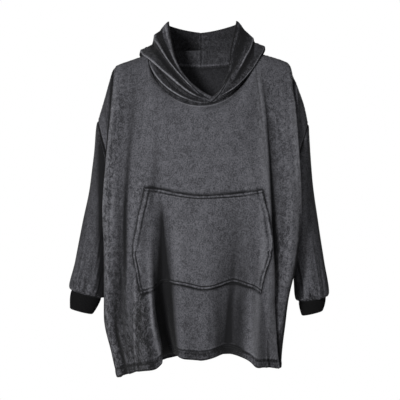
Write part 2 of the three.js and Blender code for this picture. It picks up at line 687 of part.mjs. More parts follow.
// Direction from the cuff's upper edge to its lower one.
function cuffAxis(side) {
  const top = sleeveSection(side, side.cuffTop, 2);
  const end = sleeveSection(side, side.cuffEnd, 2);
  return end[0].add(end[1]).sub(top[0]).sub(top[1]).normalize();
}

// Unit vectors out of a ring, in its own plane.
function ringNormals(ring) {
  const count = ring.length;
  const quarter = ring[Math.round(count / 4)].clone().sub(ring[0]);
  const square = quarter.cross(ring[Math.round(count / 2)].clone().sub(ring[0]));
  const centre = ring.reduce((sum, p) => sum.add(p), point(0, 0, 0)).divideScalar(count);
  return ring.map((p, k) => {
    const along = ring[(k + 1) % count].clone().sub(ring[(k + count - 1) % count]);
    const out = along.cross(square).normalize();
    return out.dot(p.clone().sub(centre)) < 0 ? out.negate() : out;
  });
}

function sleeve(name, side) {
  const count = 2 * ARM_ROWS;
  const end = sleeveSection(side, side.cuffTop, count);
  const axis = cuffAxis(side);
  const sections = side.sleeve.map((section) => sleeveSection(side, section, count));
  const fixed = new Map();
  const columns = Array.from({ length: count }, (_, k) => {
    const panel = k <= ARM_ROWS ? FRONT : BACK;
    const share = (k <= ARM_ROWS ? k : count - k) / ARM_ROWS;
    const edge = panelPoint(panel, side.sign, 1 + share);
    const start = sleeveStart(side, share);
    const first = edge.clone().addScaledVector(start, SEAM_GAP);
    const second = edge.clone().addScaledVector(start, SLEEVE_START);
    const middle = sections.map((ring) => ring[k]);
    const tail = end[k].clone().addScaledVector(axis, -SLEEVE_TAIL);
    const curve = new THREE.CatmullRomCurve3([first, second, ...middle, tail], false, "centripetal");
    fixed.set(`${SLEEVE_ROWS.length - 1},${k}`, edgeNormal(panel, side, 1 + share));
    const turn = (2 * Math.PI * k) / count;
    const wave = GATHER_DEPTH * Math.cos(GATHERS * turn + Math.sin(2 * turn));
    const points = SLEEVE_ROWS.map((row) => {
      if (row > SLEEVE_SPANS) return end[k].clone();
      const p = curve.getPoint(row / SLEEVE_SPANS);
      const before = Math.sign(p.y - side.sleeve[2].middle);
      const out = point(-side.sign * Math.cos(turn), before, 0).normalize();
      const drawn = ease((row - GATHER_FROM) / (GATHER_FULL - GATHER_FROM)) * ease(SLEEVE_SPANS - row);
      return p.addScaledVector(out, wave * drawn);
    });
    return points.reverse();
  });
  const grid = columns[0].map((_, i) => columns.map((column) => column[i]));
  const normals = ringNormals(end);
  normals.forEach((normal, k) => fixed.set(`0,${k}`, normal));
  return wall(name, cloth, grid, { around: true, flip: side.sign, fixed });
}

function cuff(name, side) {
  const count = 2 * CUFF_RIBS;
  const axis = cuffAxis(side);
  const rings = [side.cuffEnd, side.cuffTop].map((section) => sleeveSection(side, section, count));
  for (const p of rings[1]) p.addScaledVector(axis, SEAM_GAP);
  const outer = [];
  const inner = [];
  for (const ring of rings) {
    const normals = ringNormals(ring);
    outer.push(ring.map((p, k) => p.clone().addScaledVector(normals[k], k % 2 ? -RIB_RISE : 0)));
    inner.push(ring.map((p, k) => p.clone().addScaledVector(normals[k], -RIB_RISE - RIB_CLOTH)));
  }
  return wall(name, rib, outer, { around: true, flip: side.sign, inner });
}

// The pocket lies on the front's own points, moved out. Its slanted upper sides are the hand openings.
function pocket(name) {
  const rows = LEVELS.filter((level) => level > POCKET_BOTTOM - TINY && level < POCKET_TOP + TINY);
  const columns = COLUMNS.filter((column) => Math.abs(column) < NECK + TINY);
  const front = (share, level) => panelPoint(FRONT, share, level);
  const away = (extra) =>
    rows.map((level) =>
      columns.map((column) => {
        const share = columnShare(FRONT, column, level);
        const height = (level - POCKET_BOTTOM) / (POCKET_TOP - POCKET_BOTTOM);
        const sewn = level < POCKET_WIDE + TINY ? 1 - (Math.abs(column) / NECK) ** 4 : 1;
        const rise = POCKET_GAP + POCKET_RISE * Math.sin(Math.PI * clamp(height, 0, 1)) * sewn;
        return front(share, level).addScaledVector(outward(front, share, level, 1), rise + extra);
      }),
    );
  return wall(name, cloth, away(FLEECE), { inner: away(0) });
}

const garment = new THREE.Group();
const front = panelGrid(FRONT);
const back = panelGrid(BACK);
garment.add(wall("front", cloth, front.grid, { fixed: front.fixed }));
garment.add(wall("back", cloth, back.grid, { flip: -1, fixed: back.fixed }));
garment.add(hoodHalf("hood_left", HOOD_LEFT, LEFT, -1));
garment.add(hoodHalf("hood_right", HOOD_RIGHT, RIGHT, 0));
garment.add(sleeve("sleeve_left", LEFT));
garment.add(sleeve("sleeve_right", RIGHT));
garment.add(cuff("cuff_left", LEFT));
garment.add(cuff("cuff_right", RIGHT));
garment.add(pocket("pocket"));

export default garment;
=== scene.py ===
import math

import bpy
import numpy as np
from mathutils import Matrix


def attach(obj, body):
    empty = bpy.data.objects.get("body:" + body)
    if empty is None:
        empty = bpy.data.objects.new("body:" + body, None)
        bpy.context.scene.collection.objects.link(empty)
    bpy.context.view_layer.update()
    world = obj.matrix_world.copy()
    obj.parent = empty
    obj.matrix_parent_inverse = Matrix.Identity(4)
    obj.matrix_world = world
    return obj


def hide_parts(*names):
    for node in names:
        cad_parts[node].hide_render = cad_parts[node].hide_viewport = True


MM = 0.001
FLEECE = 2.2  # thickness of the fleece
RIB_CLOTH = 2.4  # thickness of the doubled rib at a groove
RIB_RISE = 0.8  # how far a rib stands above its grooves
SEAM_GAP = 0.04  # between pieces at the side seams, shoulders, armholes and cuffs
HOOD_GAP = 0.4  # between the neckline and the hood's foot
HOOD_SEAM = 0.02  # half the space between the hood's halves

UNDERARM = -420  # height of the underarm
UNDERARM_X = 205  # distance of the underarm from the middle
NEAR_ARM = 0.86  # share from which the cloth above the underarm turns toward the armhole
ARM_TURN = 262  # bend of the cloth there
BODY_RISE = (290, 250)  # bend of the cloth upward from the underarm's level, at the middle and the side
SHOULDER_RUN = (250, 225)  # bend of the cloth before the neckline and before the shoulder seam
WIDEST = 0.75  # share of the half width at which the body is widest, seen from the front
NECK = 0.35  # share at which the neckline meets the shoulder seam
NECK_HALF = 140  # half the width of the neckline
OVERLAP = 0.03  # the hood's front edges cross this share to the right of the middle
POCKET_BOTTOM = 0.495  # levels of the pocket's lower edge, widest point and upper edge
POCKET_WIDE = 0.758
POCKET_TOP = 1 + 2 / 12
SIDE_HOLLOW = 13  # how far the sides draw in under the arms
HOLLOW_REACH = 120  # height below the underarm over which they do
TURN_SLOPE, SEAM_SLOPE = 45, 150  # bend of the level outline where it turns to the side and at the seam
SEAM_HEIGHT = 9  # how far the shoulder seam lies behind the middle at its outer end
FOLD_FADE = 0.3  # levels over which a fold dies away
SEAM_CALM = 0.13  # share beside the side seams over which folds die away
STEP = 0.004  # small step along a surface, for its directions
SEWN_EDGE, FREE_EDGE = 0.04, 0.45  # shares of the thickness that round a sewn and a free edge


def table(names, *rows):
    """Rows of numbers under named columns."""
    return dict(zip(names.split(), np.array(rows, float).T))


# Each side has the body's half width, its side seam and the seam's place from front to back at heights z,
# the shoulder seam and the hem at shares of the half width, and the sleeve's and the cuff's rings.
LEFT = {
    "sign": -1,
    "outline": table("z width seam middle",
        (-860, 219, 213, 6),
        (-790, 235, 228, 8),
        (-710, 254, 240, 10),
        (-650, 256, 236, 10),
        (-580, 256, 222, 10),
        (-500, 256, 207, 10),
        (-420, 255, 205, 10),
    ),
    "shoulder": table("share x z",
        (0.35, 140, 8),
        (0.466, 182, -6),
        (0.594, 228, -24),
        (0.63, 239, -35),
        (0.671, 243, -50),
        (0.797, 256, -97),
        (0.905, 268, -137),
        (1, 279, -172),
    ),
    "hem": table("share front back",
        (0, -798, -826),
        (0.14, -792, -828),
        (0.17, -793, -830),
        (0.214, -795, -832),
        (0.234, -813, -834),
        (0.31, -821, -838),
        (0.4, -832, -842),
        (0.5, -843, -846),
        (0.75, -858, -854),
        (1, -857, -857),
    ),
    "sleeve": table("outerX outerZ innerX innerZ depth middle",
        (300, -345, 216, -440, 63, 12),
        (322, -455, 226, -505, 57, 14),
        (340, -548, 245, -580, 49, 11),
        (356, -621, 262, -646, 42, 7),
    ),
    "cuff_top": dict(outerX=351, outerZ=-630, innerX=270, innerZ=-653, depth=34, middle=6),
    "cuff_end": dict(outerX=355, outerZ=-678, innerX=293, innerZ=-694, depth=25, middle=4),
}
RIGHT = {
    "sign": 1,
    "outline": table("z width seam middle",
        (-860, 208, 202, 6),
        (-790, 210, 202, 8),
        (-710, 220, 206, 10),
        (-650, 229, 213, 10),
        (-580, 246, 218, 10),
        (-500, 259, 207, 10),
        (-420, 263, 205, 10),
    ),
    "shoulder": table("share x z",
        (0.35, 140, 14),
        (0.466, 186, 2),
        (0.594, 230, -13),
        (0.63, 239, -22),
        (0.671, 245, -38),
        (0.797, 263, -85),
        (0.905, 279, -130),
        (1, 290, -180),
    ),
    "hem": table("share front back",
        (0, -798, -818),
        (0.16, -788, -818),
        (0.22, -790, -820),
        (0.28, -799, -826),
        (0.34, -817, -840),
        (0.42, -822, -850),
        (0.6, -829, -846),
        (1, -838, -838),
    ),
    "sleeve": table("outerX outerZ innerX innerZ depth middle",
        (302, -335, 216, -440, 63, 12),
        (318, -450, 229, -502, 57, 14),
        (333, -550, 248, -580, 48, 11),
        (345, -640, 257, -654, 41, 7),
    ),
    "cuff_top": dict(outerX=338, outerZ=-650, innerX=264, innerZ=-661, depth=33, middle=6),
    "cuff_end": dict(outerX=329, outerZ=-685, innerX=272, innerZ=-698, depth=25, middle=4),
}
# Each panel has its depth at the middle and where the body turns to the side, and its neckline.
FRONT = {
    "sign": -1,
    "key": "front",
    "seed": 11,
    "depths": table("z depth swell",
        (-860, 146, 34),
        (-700, 150, 52),
        (-560, 150, 78),
        (-420, 146, 86),
    ),
    "neck": dict(y=-104, z=-138, lean=0.45, rise=0.89),
}
BACK = {
    "sign": 1,
    "key": "back",
    "seed": 23,
    "depths": table("z depth swell",
        (-860, 158, 40),
        (-700, 156, 60),
        (-560, 150, 84),
        (-420, 140, 92),
    ),
    "neck": dict(y=88, z=-18, lean=0.6, rise=0.8),
}
# Folds of a panel. A row has three levels, from the top down, where the hem is 0, the underarm 1 and the
# neck and shoulder 2; its share of the half width and its height at each, and its reach to each side.
FRONT["folds"] = [
    ("left roll", (1.3, 0.7, 0), (-0.62, -0.6, -0.64), (2, 6, 8), 0.12, 0.1),
    ("left valley", (1.6, 0.8, 0), (-0.43, -0.46, -0.52), (-3, -11, -10), 0.11, 0.1),
    ("left lobe", (1.2, 0.6, 0), (-0.36, -0.34, -0.31), (2, 8, 30), 0.14, 0.1),
    ("left recess", (1.1, 0.6, 0), (-0.2, -0.19, -0.18), (-3, -18, -44), 0.08, 0.1),
    ("middle swell", (1.1, 0.6, 0), (0, 0, 0.02), (0, 4, 10), 0.14, 0.16),
    ("right recess", (1.1, 0.6, 0), (0.17, 0.17, 0.19), (-3, -15, -30), 0.17, 0.08),
    ("right ridge", (1.2, 0.6, 0), (0.27, 0.27, 0.33), (2, 10, 18), 0.08, 0.13),
    ("right valley", (1.7, 0.8, 0), (0.42, 0.43, 0.55), (-4, -16, -14), 0.09, 0.11),
    ("right roll", (1.4, 0.7, 0), (0.57, 0.57, 0.7), (3, 8, 6), 0.11, 0.12),
    ("left arm crease", (1.7, 1.5, 1), (-0.68, -0.75, -0.85), (-6, -26, -14), 0.09, 0.08),
    ("right arm crease", (1.7, 1.5, 1), (0.68, 0.75, 0.85), (-6, -24, -14), 0.08, 0.09),
]
BACK["folds"] = [
    ("left swing", (1.5, 0.7, 0), (-0.5, -0.52, -0.56), (3, 12, 20), 0.14, 0.12),
    ("left trough", (1.4, 0.7, 0), (-0.3, -0.32, -0.34), (-3, -14, -30), 0.12, 0.13),
    ("middle swing", (1.3, 0.6, 0), (-0.08, -0.1, -0.12), (2, 8, 20), 0.13, 0.13),
    ("middle trough", (1.3, 0.6, 0), (0.12, 0.12, 0.1), (-2, -10, -26), 0.12, 0.12),
    ("right swing", (1.5, 0.7, 0), (0.32, 0.33, 0.33), (3, 10, 22), 0.13, 0.12),
    ("right trough", (1.4, 0.7, 0), (0.5, 0.52, 0.54), (-3, -12, -24), 0.11, 0.11),
    ("left arm crease", (1.7, 1.5, 1), (-0.69, -0.75, -0.84), (-5, -20, -12), 0.09, 0.08),
    ("right arm crease", (1.7, 1.5, 1), (0.69, 0.75, 0.84), (-5, -20, -12), 0.08, 0.09),
]
# Halves of the hood. A row has the angle round the neck from the middle of the front, then how far out
# and up the cloth lies there on its way from the neckline to the rim.
LEFT["hood"] = [
    (-20, (-5, 1), (-5, 3), (-5, 4.5), (-6, 6), (-6, 7.5), (-7, 9), (-8, 10.5), (-9, 12)),
    (-8, (-5, 1), (-5, 5), (-6, 7), (-6, 9), (-6, 13), (-8, 18), (-10, 24), (-14, 29)),
    (8, (-4, 1), (-1, 9), (-3, 13), (-3, 16), (2, 26), (-5, 33), (-5, 43), (-17, 53)),
    (35, (0, 0), (7, 18), (-3, 27), (-4, 32), (7, 52), (-9, 64), (-5, 81), (-34, 90)),
    (60, (0, 0), (6, 22), (-5, 32), (-5, 37), (15, 52), (-8, 68), (-9, 92), (-50, 104)),
    (90, (0, 0), (1, 15), (8, 17), (14, 9), (21, 10), (-7, 30), (-16, 50), (-52, 88)),
    (120, (0, 0), (0, 26), (13, 12), (30, -8), (43, 2), (18, 36), (2, 60), (-32, 99)),
    (150, (0, 0), (3, 40), (24, -4), (50, -72), (74, -40), (62, 12), (44, 56), (12, 107)),
    (180, (0, 0), (4, 46), (28, -40), (54, -134), (90, -92), (96, -16), (88, 48), (62, 104)),
]
RIGHT["hood"] = [
    (7, (0, 0), (2, 4), (2, 5.5), (2, 7), (2, 8.5), (2, 10), (1, 11.5), (-1, 13)),
    (20, (0, 0), (2, 6), (3, 8), (4, 10), (4, 14), (2, 19), (-3, 25), (-10, 29)),
    (35, (0, 0), (2, 9), (3, 12), (8, 14), (11, 19), (3, 33), (-7, 45), (-27, 52)),
    (60, (0, 0), (0, 17), (4, 21), (11, 20), (15, 24), (2, 42), (-13, 58), (-50, 72)),
    (75, (0, 0), (0, 19), (7, 25), (17, 22), (23, 24), (4, 36), (-10, 52), (-49, 80)),
    (90, (0, 0), (1, 17), (10, 21), (23, 14), (31, 14), (8, 28), (-5, 44), (-43, 84)),
    (120, (0, 0), (0, 26), (14, 12), (32, -8), (46, 2), (24, 32), (10, 56), (-26, 97)),
    (150, (0, 0), (3, 40), (24, -4), (50, -72), (74, -40), (62, 12), (48, 56), (14, 107)),
    (180, (0, 0), (4, 46), (28, -40), (54, -134), (90, -92), (96, -16), (88, 48), (62, 104)),
]
# Creases of a sleeve: where each starts and ends on the way from the armhole, 0, to the cuff, 1; its place
# round the sleeve at both ends, its height and its width.
LEFT["creases"] = [
    (0.05, 0.75, 5.6, 5.0, 3.5, 0.35),
    (0.0, 0.45, 1.0, 1.5, -4.0, 0.22),
    (0.1, 0.8, 2.0, 1.3, 3.0, 0.3),
    (0.3, 0.98, 1.0, 1.9, -3.0, 0.25),
    (0.55, 1.0, 2.6, 2.1, 2.5, 0.2),
    (0.0, 0.6, 4.2, 4.8, -3.5, 0.3),
    (0.62, 1.0, 0.8, 1.0, -2.2, 0.09),
    (0.5, 0.98, 1.25, 1.2, 2.4, 0.1),
    (0.7, 1.0, 1.75, 1.6, -2.4, 0.08),
    (0.45, 0.96, 2.25, 2.0, 2.2, 0.09),
    (0.3, 0.8, 1.5, 1.4, 1.6, 0.08),
]
RIGHT["creases"] = [
    (0.05, 0.7, 5.5, 5.0, 3.5, 0.35),
    (0.0, 0.5, 1.1, 1.4, -4.0, 0.22),
    (0.15, 0.85, 1.9, 1.5, 3.0, 0.3),
    (0.5, 1.0, 0.6, 1.2, -4.0, 0.2),
    (0.7, 1.0, 2.4, 1.8, 3.0, 0.18),
    (0.0, 0.6, 4.3, 4.9, -3.5, 0.3),
    (0.6, 1.0, 2.3, 2.1, -2.2, 0.09),
    (0.52, 0.97, 1.9, 1.95, 2.4, 0.09),
    (0.72, 1.0, 1.35, 1.5, -2.4, 0.08),
    (0.4, 0.95, 0.9, 1.1, 2.2, 0.1),
]
# Painted shade over each half of the hood, painted light along its rim, and a darker tone over each sleeve.
LEFT["hood_tone"], RIGHT["hood_tone"] = -0.56, -0.68
LEFT["rim_tone"], RIGHT["rim_tone"] = 0.5, 0.0
LEFT["sleeve_tone"], RIGHT["sleeve_tone"] = -0.34, -0.32
# Band down a sleeve beside the body, painted shade on the left and painted light on the right: its distance
# from the middle, its width and its tone.
LEFT["streak"], RIGHT["streak"] = (263, 13, -1.0), (276, 9, 0.5)
# Creases of the hood's halves: place on the way from the neck, 0, to the rim, 8; height, width and the
# angles round the neck between which it lives.
LEFT["hood_creases"] = [
    ("lowest crest", 2.0, 2.6, 0.3, 4, 88),
    ("lowest trough", 3.3, -2.5, 0.5, 8, 85),
    ("outer crest", 5.0, 3.4, 0.3, -6, 125),
    ("outer trough", 6.0, -3.6, 0.4, 0, 140),
    ("upper crest", 7.0, 3.2, 0.22, 2, 150),
    ("rim trough", 7.38, -3.2, 0.2, 8, 140),
    ("inside fold", 7.7, 1.2, 0.2, 20, 150),
]
RIGHT["hood_creases"] = [
    ("foot trough", 3.3, -1.5, 0.4, 20, 100),
    ("outer crest", 5.0, 1.8, 0.4, 15, 120),
    ("outer trough", 6.0, -3.0, 0.35, 30, 150),
    ("upper crest", 6.6, 2.6, 0.25, 40, 150),
    ("rim trough", 7.45, -2.4, 0.22, 15, 140),
]
# Finer creases than those of the solids, in the way of the folds.
FRONT["creases"] = [
    ("left side pull", (1.5, 0.9, 0.3), (-0.55, -0.52, -0.5), (1.5, 4, 2), 0.06, 0.05),
    ("left lobe edge", (0.66, 0.42, 0), (-0.266, -0.262, -0.236), (6, 22, 28), 0.12, 0.018),
    ("left recess floor", (0.85, 0.42, 0), (-0.2, -0.203, -0.18), (-5, -17, -18), 0.045, 0.045),
    ("pocket left slope", (1.15, 0.85, 0.45), (-0.29, -0.28, -0.27), (2, 6, 4), 0.07, 0.08),
    ("pocket left valley", (1.15, 0.85, 0.4), (-0.205, -0.185, -0.16), (-2, -7, -5), 0.08, 0.03),
    ("middle left edge", (1.0, 0.5, 0), (-0.132, -0.118, -0.112), (2, 10, 14), 0.03, 0.1),
    ("right ridge top", (1.15, 0.6, 0), (0.235, 0.24, 0.29), (2, 5, 4), 0.035, 0.06),
    ("right hollow", (0.9, 0.5, 0), (0.16, 0.15, 0.15), (-2, -6, -8), 0.07, 0.06),
    ("right crease", (1.55, 0.8, 0.0), (0.4, 0.39, 0.63), (-3, -12, -22), 0.026, 0.07),
    ("right crease edge", (1.55, 0.8, 0.0), (0.36, 0.35, 0.585), (3, 8, 18), 0.09, 0.028),
    ("left arm edge", (1.8, 1.5, 1.05), (-0.572, -0.58, -0.64), (2, 7, 5), 0.03, 0.08),
    ("left arm valley", (1.8, 1.5, 1.05), (-0.622, -0.632, -0.695), (-5, -12, -8), 0.05, 0.03),
    ("right arm edge", (1.8, 1.5, 1.05), (0.655, 0.625, 0.67), (2, 6, 4), 0.08, 0.03),
    ("right arm valley", (1.8, 1.5, 1.05), (0.705, 0.675, 0.72), (-5, -11, -7), 0.03, 0.05),
    ("left hip", (0.5, 0.25, 0), (-0.42, -0.4, -0.4), (2, -5, -6), 0.04, 0.05),
    ("left hem roll", (0.35, 0.15, 0), (-0.5, -0.5, -0.49), (1, 4, 6), 0.05, 0.05),
    ("left lobe line", (0.5, 0.27, 0), (-0.342, -0.338, -0.385), (1, 3, 2), 0.02, 0.016),
]
BACK["creases"] = [
    ("left pull", (1.4, 0.8, 0), (-0.42, -0.43, -0.46), (1, 4, 4), 0.05, 0.05),
    ("middle crease", (1.2, 0.6, 0), (0.03, 0.02, 0.0), (1, -4, -6), 0.06, 0.05),
    ("right pull", (1.4, 0.8, 0), (0.42, 0.43, 0.44), (1, 4, 5), 0.05, 0.05),
]
# Sideways lean of the cloth, which lets an edge of a fold stand over the trough beside it.
FRONT["leans"] = [
    ("left lobe", (0.66, 0.42, 0), (-0.261, -0.257, -0.231), (5, 14, 21), 0.09, 0.02),
    ("right crease", (1.5, 0.8, 0.0), (0.375, 0.365, 0.605), (3, 8, 11), 0.07, 0.028),
    ("left arm", (1.8, 1.5, 1.05), (-0.585, -0.595, -0.655), (-3, -7, -5), 0.035, 0.07),
    ("right arm", (1.8, 1.5, 1.05), (0.67, 0.64, 0.685), (2, 6, 4), 0.07, 0.035),
]
# Lines and bands of painted shade and of painted light on the front, in the same way.
FRONT["marks"] = [
    ("left arm line", (1.9, 1.5, 0.9), (-0.63, -0.648, -0.7), (-1.1, -1.6, -1.6), 0.11, 0.035),
    ("left arm rim", (1.85, 1.5, 1.0), (-0.565, -0.575, -0.64), (0.35, 0.55, 0.5), 0.022, 0.02),
    ("right arm line", (1.9, 1.5, 1.0), (0.69, 0.665, 0.72), (-1.1, -1.6, -1.5), 0.018, 0.05),
    ("right arm rim", (1.85, 1.5, 1.0), (0.65, 0.615, 0.665), (0.3, 0.45, 0.4), 0.02, 0.022),
    ("left side shade", (1.0, 0.6, 0), (-0.7, -0.69, -0.69), (-0.5, -1.1, -1.1), 0.3, 0.065),
    ("left arm shade", (1.85, 1.4, 1.0), (-0.8, -0.82, -0.85), (-0.3, -0.9, -1.0), 0.12, 0.12),
    ("right bulge", (0.55, 0.3, 0), (0.5, 0.49, 0.5), (0.1, 0.3, 0.2), 0.07, 0.06),
    ("right side shade", (0.85, 0.45, 0), (0.66, 0.65, 0.69), (-0.5, -1.6, -1.6), 0.13, 0.35),
    ("right arm light", (1.4, 1.1, 0.8), (0.6, 0.6, 0.6), (0.2, 0.5, 0.4), 0.04, 0.04),
    ("right shoulder light", (1.8, 1.4, 1.1), (0.36, 0.35, 0.36), (0.2, 0.4, 0.2), 0.07, 0.07),
    ("right recess shade", (0.95, 0.4, 0), (0.235, 0.238, 0.25), (-0.35, -0.7, -0.6), 0.05, 0.045),
    ("middle light", (0.7, 0.35, 0), (0.13, 0.13, 0.135), (0.2, 0.6, 0.5), 0.05, 0.045),
    ("right ridge light", (0.9, 0.4, 0), (0.32, 0.32, 0.33), (0.2, 0.5, 0.4), 0.04, 0.05),
    ("left streak", (1.4, 0.9, 0.45), (-0.425, -0.425, -0.42), (-0.4, -0.9, -0.5), 0.04, 0.035),
    ("left slant", (1.5, 1.2, 0.9), (-0.22, -0.245, -0.287), (-0.2, -0.5, -0.5), 0.04, 0.035),
    ("left recess", (0.85, 0.4, 0), (-0.19, -0.187, -0.168), (-0.25, -0.7, -0.65), 0.08, 0.06),
    ("left lobe rim", (0.62, 0.35, 0), (-0.27, -0.264, -0.24), (0.3, 0.8, 0.7), 0.012, 0.01),
    ("left lobe shade", (0.6, 0.35, 0), (-0.295, -0.288, -0.272), (-0.3, -0.5, -0.4), 0.025, 0.02),
    ("left lobe line", (0.55, 0.27, 0), (-0.338, -0.336, -0.385), (0.5, 1.1, 0.9), 0.012, 0.01),
    ("left lobe blots", (0.5, 0.27, 0), (-0.318, -0.316, -0.34), (-0.3, -0.6, -0.3), 0.015, 0.02),
    ("left band", (0.9, 0.4, 0), (-0.5, -0.515, -0.58), (-0.15, -0.4, -0.25), 0.05, 0.05),
    ("right crease", (1.45, 0.8, 0), (0.395, 0.385, 0.62), (0.05, -0.4, -0.6), 0.02, 0.05),
]
# Crumpled places of the front: share, level, reach across, reach up and strength.
FRONT["crumples"] = [
    (-0.315, 0.33, 0.035, 0.17, 1.5),
    (-0.4, 0.14, 0.14, 0.16, 1.0),
    (-0.6, 0.6, 0.06, 0.7, 0.8),
    (-0.46, 0.5, 0.1, 0.4, 0.35),
    (-0.58, 1.5, 0.08, 0.3, 0.6),
    (0.5, 0.7, 0.06, 0.5, 0.6),
    (0.4, 1.5, 0.12, 0.25, 0.3),
    (-0.33, 1.14, 0.1, 0.1, 0.5),
    (-0.05, 0.93, 0.12, 0.06, 0.3),
]
# Shares of the half width at which the pocket's edges lie on the left and the right, at levels.
POCKET_EDGE = table("level left right",
    (0, 0.28, 0.43),
    (POCKET_BOTTOM, 0.305, 0.334),
    (POCKET_WIDE, 0.361, 0.356),
    (POCKET_TOP, 0.291, 0.307),
    (2, NECK, NECK),
)
# Rise of the pocket's lower and upper edge at places from its left side, -1, to its right, 1.
POCKET_LOWER_WAVE = ((-1, -0.62, -0.3, 0.1, 0.5, 0.75, 1), (-4, 9, 5, -6, 7, 1, -6))
POCKET_UPPER_WAVE = ((-1, -0.7, -0.1, 0.4, 1), (6, 8, -5, -3, 0))
HEM_WIDTH = 22  # from the hem's edge to its upper row of stitches
HEM_ROWS = 5  # between its two rows of stitches
HEM_EXTRA = 1.3  # how much thicker the turned hem is
HOOD_HEM = 15  # from the rim to the hood's row of stitches
HOOD_HEM_EXTRA = 1.2  # how much thicker the hood's hem is
HOOD_STAND = 3.5  # how far the hood's cloth stands up from the neckline before it folds over
HOOD_COLUMN = 0.0055  # spacing of a hood half's columns, as a share of the body's half width
HOOD_ROWS = 16  # rows of points from one place of a hood's row to the next
RIM_TURN = 115  # angle round the neck at which the creases' painted lines have died away
SLEEVE_START = 9  # how far a sleeve keeps its direction after the armhole
SLEEVE_TAIL = 3  # the same before the cuff
SLEEVE_COLUMNS = 168  # columns of points round a sleeve
GATHERS = 11  # gathers round a sleeve's end
GATHER_FROM, GATHER_FULL, GATHER_END = 4.1, 5.3, 6.15  # on the way from the armhole, 0, to the cuff, 6
GATHER_DEPTH = 1.7
RIBS, RIB_POINTS = 60, 8  # ribs of a cuff and points across each
POCKET_GAP = 0.4  # between the front and the pocket
POCKET_RISE = 2.4  # how much further the pocket's middle stands off
POCKET_SEAM = 7.0  # from the pocket's edge to its row of stitches
OPENING_HEM = 13.0  # from a hand opening's edge to its far row of stitches
OPENING_ROWS = 4.5  # between the two rows of stitches there
POCKET_PUCKERS = 12  # pitch of the puckers along its stitches
SLEEVE_SEAM = 5.0  # from the armhole to the sleeve's row of stitches
LEVEL_LENGTH = 400  # about the length of one level on the front

# Columns of a panel round which its points lie closer: the place, the reach and the spacing there.
COLUMN = 0.0105  # spacing elsewhere
BACK["spots"] = [(-1, 0.012, 0.004), (1, 0.012, 0.004)]
FRONT["spots"] = BACK["spots"] + [
    (-0.295, 0.045, 0.003),
    (0.45, 0.1, 0.0055),
    (-0.63, 0.05, 0.006),
    (0.68, 0.05, 0.006),
]

# The camera, the lamps and the backdrop, in metres.
VIEW_X, VIEW_Z = -0.0027, -0.386
VIEW_DISTANCE, VIEW_WIDTH = 3.2, 1.08
SENSOR = 36  # width of the camera's film in millimetres
FLOOR_Z, FLOOR_RADII, FLOOR_CORNERS = -1400, (800, 1600, 2400), 96  # millimetres
AMBIENT = 0.06  # light that the backdrop gives
LAMP_AIM = (0, 0, -0.4)
# Soft round lamps: place, size and power.
LAMPS = [
    ("key", (-1.65, -3.75, 0.7), 0.8, 192),
    ("front fill", (0.5, -4.2, -0.2), 1.6, 22),
    ("back lamp", (1.3, 3.9, 0.8), 1.2, 100),
    ("back fill", (-1.5, 3.7, 0.2), 1.6, 45),
]
# Colours of the finishes.
FLEECE_DARK = (0.030, 0.030, 0.034)
FLEECE_LIGHT = (0.100, 0.100, 0.112)
# colours mixed in for painted shade and painted light, by the tone
FLEECE_PAINTED_SHADE = (0.006, 0.006, 0.007)
FLEECE_PAINTED_LIGHT = (0.24, 0.24, 0.26)
THREAD_DARK, THREAD_LIGHT = (0.022, 0.022, 0.025), (0.04, 0.04, 0.044)
RIB_DARK, RIB_LIGHT = (0.0016, 0.0016, 0.0018), (0.0042, 0.0042, 0.0046)
FLOOR_DARK, FLOOR_LIGHT = (0.78, 0.78, 0.77), (0.82, 0.82, 0.81)
INSIDE_PAINTED_SHADE = -0.72  # painted shade over the inside of each piece
RIDGE_TONE = 0.9  # most painted light and shade that the bend of the cloth adds to the tone
RIDGE_SENSE = 4.0  # how soon a bend reaches it
RIDGE_LIGHT = 0.55  # share of it that ridges get
RIDGE_STEPS = (1, 3)  # rows and columns of points over which the bend is measured
TROUGH_DEPTH = 34  # depth of a fold whose painted shade takes its tone down by 1
CRUMPLE_TONE = 4.0  # how much the crumpled nap adds to the tone
CRUMPLE_SHADE, CRUMPLE_HEIGHT = 2.3, 6.0  # the same for the pile's shade and relief
PILE_DEPTH, THREAD_DEPTH, LOOP_DEPTH = 0.0011, 0.0002, 0.0006  # metres of relief in the finish


def ease(x):
    """0 below 0, 1 above 1 and a soft step between them."""
    t = np.clip(x, 0, 1)
    return t * t * (3 - 2 * t)


def bell(x, place, width):
    """1 at a place, and less to both sides of it."""
    return np.exp(-(((x - place) / width) ** 2))


def mix(a, b, t):
    return a + (b - a) * t


def cubic(a, da, b, db, t):
    """Cubic from a to b with slopes da and db, at t from 0 to 1."""
    u = 1 - t
    return a * u * u * (1 + 2 * t) + da * t * u * u + b * t * t * (3 - 2 * t) - db * t * t * u


def follow(places, values, at):
    """Values at places along a smooth curve through the given ones."""
    places, values = np.asarray(places, float), np.asarray(values, float)
    slopes = np.empty_like(values)
    slopes[1:-1] = (values[2:] - values[:-2]) / (places[2:] - places[:-2])
    slopes[0] = (values[1] - values[0]) / (places[1] - places[0])
    slopes[-1] = (values[-1] - values[-2]) / (places[-1] - places[-2])
    x = np.clip(at, places[0], places[-1])
    row = np.clip(np.searchsorted(places, x) - 1, 0, len(places) - 2)
    span = places[row + 1] - places[row]
    t = (x - places[row]) / span
    return cubic(values[row], slopes[row] * span, values[row + 1], slopes[row + 1] * span, t)


def read(rows, along, name, at):
    """A column of a table along another one."""
    return follow(rows[along], rows[name], at)


def unit(v):
    """Vectors of length 1."""
    return v / np.maximum(np.linalg.norm(v, axis=-1, keepdims=True), 1e-9)


def stack(x, y, z):
    return np.stack(np.broadcast_arrays(x, y, z), axis=-1).astype(float)


